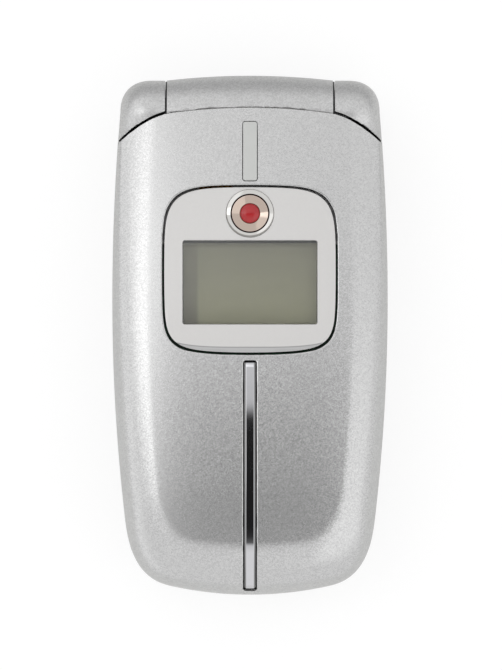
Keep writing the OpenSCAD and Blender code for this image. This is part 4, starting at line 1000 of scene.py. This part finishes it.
# ---- Base, front cover -----------------------------------------------
# The keypad half's front shell ends in two rounded shoulders that hold the barrel between them.
# It is sprayed silver, with a raised rim that meets the lid.

shoulder_r, shoulder_x, base_low = 5.62, 22.997, 7.0
round_power, base_seam_z, seam_step, foot_y = 2.3, 10.8, 0.4, 32.9


def shoulder_radius(x):
    """Radius of the shoulder about the hinge axis at x."""
    over = max(0.0, abs(x) - (shoulder_x - shoulder_r)) / shoulder_r
    return shoulder_r * max(0.0, 1 - over ** round_power) ** (1 / round_power)


def lid_edge_y(x):
    """Where the lid's outer cover ends over the shoulder at x."""
    low, high = 30.0, axis_y
    for _ in range(30):
        y = (low + high) / 2
        share = (min(x, side_x(y)) - side_x(y) + edge_side) / edge_side
        fall = 1 - (1 - share) / lid_share
        lift = math.sqrt(1 - fall ** 2) if fall > 0 else 1.0
        z = lid_seam_z + lift * (crown(x, y) - lid_seam_z)
        low, high = (y, high) if math.hypot(axis_y - y, z - axis_z) > room_radius(x) else (low, y)
    return y


def shoulder(s):
    """One shoulder: crowned above the hinge axis, upright-sided below it down to the seam."""
    bend = [math.sin(math.pi / 2 * k / 30) ** 0.87 for k in range(31)]
    flat_x = shoulder_x - shoulder_r
    loops = []
    for u in [None, None] + bend:
        x = (15.06, 16.2)[len(loops)] if u is None else flat_x + shoulder_r * u
        share = shoulder_radius(x) / shoulder_r
        loop = []

        def add(y, z, inset=0.0):
            reach = 0.0 if u is None else u
            out = (side_x(min(y, axis_y)) - shoulder_x - inset) * reach
            loop.append((s * (x + out), y, z))

        for k in range(73):
            t = math.radians(2.5 * k)
            r = shoulder_r - 0.1 * math.sin(min(t, math.radians(110)) / math.radians(110) * math.pi) ** 2
            narrowed = share if k <= 36 else 1.0
            add(axis_y + r * narrowed * math.cos(t), axis_z + r * share * math.sin(t))
        for y, z, inset in ((33.6, 12.3, 0), (foot_y, 12.3, 0), (foot_y, 10.81, 0),
                (foot_y, 10.79, seam_step), (foot_y, 9, seam_step), (foot_y, base_low, seam_step)):
            add(y, z, inset)
        for z in (base_low, 8, 9, 10, 10.79, 10.81, 11.6, 12.2):
            depth = math.sqrt(shoulder_r ** 2 - (axis_z - z) ** 2)
            add(axis_y + depth * share, z, seam_step if z < base_seam_z else 0)
        loops.append(loop)
    knob = tower("knob", loops)
    cut(knob, bar_x(2.75, s * 14.0, s * 18.8), "DIFFERENCE", 0)
    return knob


front_cover = finished_copy("base_front_cover", "base", "silver_paint", soft_silver, 0.0)
for s in (-1, 1):
    cut(front_cover, box(s * shim_out, s * 30, 33, 60, 5, 25), "DIFFERENCE", 0)
    cut(front_cover, shoulder(s), "UNION", 0)
    # A narrow groove along the lid's edge; its cut faces take the near-black plastic, painted shade in the
    # gap between lid and shoulder.
    edge = [(s * x, lid_edge_y(x)) for x in (14.5 + 0.3 * k for k in range(34))]
    shadow_gap = [(x, y - 0.1) for x, y in edge] + [(x, y + 0.55) for x, y in reversed(edge)]
    cut(front_cover, slab(shadow_gap, 13.2, 20))
soften(front_cover, 0.0, 32, 1, -1, 0.003)
dress(front_cover, soft_silver, bare_plastic_gap_shade)


# ---- Base, rear cover ------------------------------------------------
# The back shell carries the board, the aerial and the speaker, and is screwed to the front cover.

finished_copy("base_rear_cover", "base", "silver_paint", soft_silver, 0.0)


# ---- Battery cover ---------------------------------------------------
# A lid over the battery slides off towards the chin; grooves give the thumb a grip.

finished_copy("battery_cover", "battery_cover", "silver_paint", soft_silver, 0.0)


# ---- Base screws -----------------------------------------------------
# Four blackened screws go in from behind, under the battery cover, through the rear cover into
# the front cover's posts.

crossed(finished_copy("base_screws", "base", "black_screws", black_screws, 0.0), [(s * x, y)
    for s in (-1, 1) for x, y in ((14.6, -38.4), (20.2, 12.3))], 3.2)


# ---- Battery and its contacts ----------------------------------------
# A slim pack in a dark wrapped case with a plain grey label. Three sprung gilt contacts press on it.

battery_case, tree, shader, grain = grained("battery_case", (0.020, 0.021, 0.024),
    (0.034, 0.035, 0.038), 1600.0, 0.4, 0.55, bump=0.1)
label_y = -9.0
label = between(tree, frame_level(tree, 14.6, 21.5, label_y), -60, 0, 0.03)
band = between(tree, frame_level(tree, 14.0, 20.9, label_y), -0.12, 0.12, 0.03)
tone = blend_color(tree, label, grain["Color"], (0.40, 0.41, 0.42, 1))
feed(tree, shader, Base_Color=blend_color(tree, band, tone, (0.10, 0.11, 0.12, 1)))
finished_copy("battery", "base", "battery_case", battery_case, 0.4, 35, 3)
finished_copy("battery_contacts", "base", "brass", brass, 0.06)


# ---- Main board, shields and SIM holder ------------------------------
# The base's board carries the radio under tinned cans on its back, and the card holder, a bent
# sheet that the battery covers.

finished_copy("main_board", "base", "circuit_board", circuit_board, 0.05)
for node, width in (("shield_cans", 0.12), ("sim_holder", 0.05)):
    finished_copy(node, "base", "sheet_steel", sheet_steel, width)


# ---- Dome sheet ------------------------------------------------------
# A milky film holds a snap dome of thin steel over every switch on the board.

dome_film, tree, shader, grain = grained("dome_film", (0.55, 0.56, 0.55), (0.66, 0.67, 0.66), 700.0,
    0.25, 0.4)
metal = between(tree, part_of(tree, "Z"), 0.00902, 1.0, 0.00001)
mask_over(tree, shader, metal, (0.62, 0.60, 0.56, 1), grain["Color"])
feed(tree, shader, Metallic=metal)
finished_copy("dome_sheet", "base", "dome_film", dome_film, 0.0)


# ---- Keypad mat ------------------------------------------------------
# One moulding of grey silicone rubber with a plunger over each dome; the keys stand on it.

key_rubber = grained("key_rubber", (0.16, 0.165, 0.17), (0.22, 0.225, 0.23), 1500.0, 0.6, 0.75,
    bump=0.15)[0]
finished_copy("keypad_mat", "base", "key_rubber", key_rubber, 0.1)


# ---- Number keys -----------------------------------------------------
# Moulded caps with a pillowed top and a flange under the face, sprayed satin silver. Digits and
# letters are printed on top in dark grey.

key_w, key_l, key_corner, flange_out = 11.4, 6.2, 1.6, 0.5
flange_low, flange_top, key_top = 10.6, 11.0, 12.45
pitch_x, pitch_y = 13.0, 8.5
number_y, nav_y = -28.5, 12.3
print_low, print_high = 12.40, 12.465
key_silver = grained("key_silver", (0.48, 0.48, 0.48), (0.56, 0.56, 0.56), 2400.0, 0.3, 0.4,
    Metallic=0.55, Coat_Weight=0.2)[0]
key_print = grained("key_print", (0.018, 0.020, 0.028), (0.030, 0.032, 0.042), 3000.0, 0.4, 0.5)[0]


def key_cap(name, w, l, x, y):
    """A key from its flange up to its pillowed top."""
    steps = [(-flange_out, flange_low), (-flange_out, flange_top), (0, flange_top), (0, 12.08),
        (0.05, 12.2), (0.16, 12.29), (0.35, 12.35), (0.7, 12.395), (1.2, 12.43), (1.8, key_top)]
    return tower(name, [[(p, q, z) for p, q in rounded(w - 2 * i, l - 2 * i,
        max(0.3, min(key_corner, key_corner - i)), x, y)] for i, z in steps])


def printed(words, size, x, y, z=12.44):
    """Words as thin raised print, centred at (x, y)."""
    bpy.ops.object.select_all(action="DESELECT")
    bpy.ops.object.text_add()
    letters = bpy.context.object
    letters.data.body = words
    letters.data.size = size * 0.001
    letters.data.align_x, letters.data.align_y = "CENTER", "CENTER"
    letters.data.extrude = 0.000025
    letters.data.resolution_u = 4
    bpy.ops.object.convert(target="MESH")
    letters = bpy.context.object
    letters.location = (x * 0.001, y * 0.001, z * 0.001)
    bpy.ops.object.transform_apply()
    dress(letters, key_print)
    return letters


def seat(key, node, slot, finish, *prints):
    """Finishes a key, joins its print and puts it in its node's place."""
    soften(key, 0.0, 40, 1, -1, 0.005)
    dress(key, finish)
    if prints:
        join(key, *prints)
    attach(key, node)
    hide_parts(node)


signs = ("1", "2 abc", "3 def", "4 ghi", "5 jkl", "6 mno", "7 pqrs", "8 tuv", "9 wxyz", "* +", "0", "#")
names = ("1", "2", "3", "4", "5", "6", "7", "8", "9", "star", "0", "hash")
for i, (sign, name) in enumerate(zip(signs, names)):
    x, y = (i % 3 - 1) * pitch_x, number_y + (3 - i // 3) * pitch_y
    digit, _, small = sign.partition(" ")
    prints = [printed(digit, 4.0, x - 2.2, y - (0.6 if digit == "*" else 0))]
    if small:
        prints.append(printed(small, 2.2, x + 2.1, y))
    seat(key_cap("cap_" + name, key_w, key_l, x, y), "key_" + name, "silver_keys", key_silver, *prints)


# ---- Soft keys, call key and end key ---------------------------------
# Four caps of the same make round the ring: two silver ones with a dash, a green one to call and
# a red one to end, each with a handset.

side_x_place, side_dy, side_w, side_l = 15.4, 5.4, 7.6, 5.0
green_key = grained("green_key", (0.010, 0.20, 0.045), (0.020, 0.27, 0.065), 1600.0, 0.25, 0.35,
    Coat_Weight=0.5)[0]
red_key = grained("red_key", (0.36, 0.010, 0.012), (0.46, 0.020, 0.020), 1600.0, 0.25, 0.35,
    Coat_Weight=0.5)[0]
white_print = grained("white_print", (0.72, 0.72, 0.71), (0.80, 0.80, 0.79), 3000.0, 0.4, 0.5)[0]


def handset(x, y, turn):
    """A thin raised telephone handset, lying at (x, y)."""
    band = []
    for r, angles in ((2.0, range(35, 146, 10)), (1.45, range(145, 34, -10))):
        band += [(r * math.cos(math.radians(a)), r * math.sin(math.radians(a)) - 1.3) for a in angles]
    parts = []
    for shape in (band, rounded(0.95, 0.8, 0.2, -1.3, -0.35), rounded(0.95, 0.8, 0.2, 1.3, -0.35)):
        c, q = math.cos(turn), math.sin(turn)
        parts.append(slab([(x + c * p - q * r, y + q * p + c * r) for p, r in shape], print_low,
            print_high, "handset"))
        dress(parts[-1], white_print)
    join(*parts)
    return parts[0]


for node, sx, sy, slot, finish in (("soft_key_left", -1, 1, "silver_keys", key_silver),
        ("soft_key_right", 1, 1, "silver_keys", key_silver), ("call_key", -1, -1, "green_key", green_key),
        ("end_key", 1, -1, "red_key", red_key)):
    x, y = sx * side_x_place, nav_y + sy * side_dy
    if sy > 0:
        sign = slab(rounded(2.6, 0.4, 0.15, x, y), print_low, print_high, "dash")
        dress(sign, key_print)
    else:
        sign = handset(x, y, 0.6 if sx < 0 else 0.0)
    seat(key_cap(node + "_cap", side_w, side_l, x, y), node, slot, finish, sign)


# ---- Navigation ring and OK key --------------------------------------
# A satin ring, dished towards its middle and marked with four arrows, round a polished round key.

gap_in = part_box("ok_key")[1][0] * 1000 + 0.12
ring_r = 9.2
ring_steps = [(gap_in, flange_low), (9.7, flange_low), (9.7, flange_top), (ring_r, flange_top),
    (ring_r, 12.1), (9.14, 12.24), (9.0, 12.36), (8.7, 12.43), (8.3, key_top), (7.4, 12.44),
    (6.4, 12.39), (5.4, 12.31), (gap_in + 0.15, 12.2), (gap_in, 12.1)]
arrows = []
for k in range(4):
    c, q = math.cos(math.pi / 2 * k), math.sin(math.pi / 2 * k)
    arrow = [(c * p - q * r, nav_y + q * p + c * r) for p, r in ((6.6, -0.9), (7.7, 0), (6.6, 0.9))]
    arrows.append(slab(arrow, 12.3, 12.47, "arrow"))
    dress(arrows[-1], key_print)
seat(lathe("nav_ring_cap", ring_steps, 0, nav_y, 128), "nav_ring", "silver_keys", key_silver, *arrows)

bright_key = grained("bright_key", (0.60, 0.60, 0.61), (0.68, 0.68, 0.69), 900.0, 0.08, 0.16,
    Metallic=0.95)[0]
ok_r = 3.9
ok_steps = [(0, flange_low), (ok_r, flange_low), (ok_r, 12.2), (3.84, 12.34), (3.7, 12.43),
    (3.5, key_top), (2.6, 12.38), (1.4, 12.33), (0, 12.32)]
seat(lathe("ok_cap", ok_steps, 0, nav_y, 96), "ok_key", "bright_key", bright_key,
    printed("OK", 2.4, 0, nav_y, 12.35))


# ---- Microphone and sockets ------------------------------------------
# A small metal-cased microphone stands behind its hole; the charging and headset sockets are black
# mouldings in the base's end and side.

finished_copy("microphone", "base", "brass", brass, 0.1)
for node in ("charge_socket", "headset_jack"):
    finished_copy(node, "base", "black_plastic", black_plastic, 0.12)


# ---- Antenna ---------------------------------------------------------
# A cream plastic carrier behind the hinge with a folded copper pattern on it.

antenna_carrier, tree, shader, grain = grained("antenna_carrier", (0.58, 0.55, 0.46),
    (0.66, 0.63, 0.54), 900.0, 0.4, 0.55)
folds = wire(tree, "ShaderNodeTexBrick", {"Vector": place_of(tree), "Scale": 95.0, "Color1": (1, 1, 1, 1),
    "Color2": (1, 1, 1, 1), "Mortar": (0, 0, 0, 1), "Mortar Size": 0.09, "Brick Width": 0.35,
    "Row Height": 0.2})
copper = between(tree, folds.outputs["Fac"], -1, 0.5, 0.1)
mask_over(tree, shader, copper, (0.72, 0.36, 0.17, 1), grain["Color"])
feed(tree, shader, Metallic=copper)
finished_copy("antenna", "base", "antenna_carrier", antenna_carrier, 0.15)


# ---- Ringer, motor and its weight ------------------------------------
# The ringer is a black speaker over the slots in the back. A pager motor with an off-centre weight
# shakes the base.

finished_copy("ringer", "base", "black_plastic", black_plastic, 0.2)
motor_can = grained("motor_can", (0.40, 0.40, 0.39), (0.52, 0.52, 0.50), 700.0, 0.2, 0.34, (12, 1, 1),
    Metallic=1.0)[0]
finished_copy("vibration_motor", "base", "motor_can", motor_can, 0.1)
finished_copy("motor_weight", "motor_weight", "brass", brass, 0.08)


# ---- Volume rocker ---------------------------------------------------
# A long key in the left side rocks on an upright pin. Its ends are marked with a plus and a minus.

rocker = finished_copy("volume_rocker", "volume_rocker", "silver_keys", key_silver, 0.3, 40, 3)
face_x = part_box("volume_rocker")[0][0] * 1000
mark_z, stroke_l, stroke_w, plus_y, minus_y = 9.2, 1.3, 0.28, 6.0, -2.0
marks = []
for y, l, h in ((plus_y, stroke_l, stroke_w), (plus_y, stroke_w, stroke_l), (minus_y, stroke_l, stroke_w)):
    marks.append(box(face_x - 0.03, face_x + 0.1, y - l / 2, y + l / 2, mark_z - h / 2, mark_z + h / 2,
        "mark"))
    dress(marks[-1], key_print)
join(rocker, *marks)
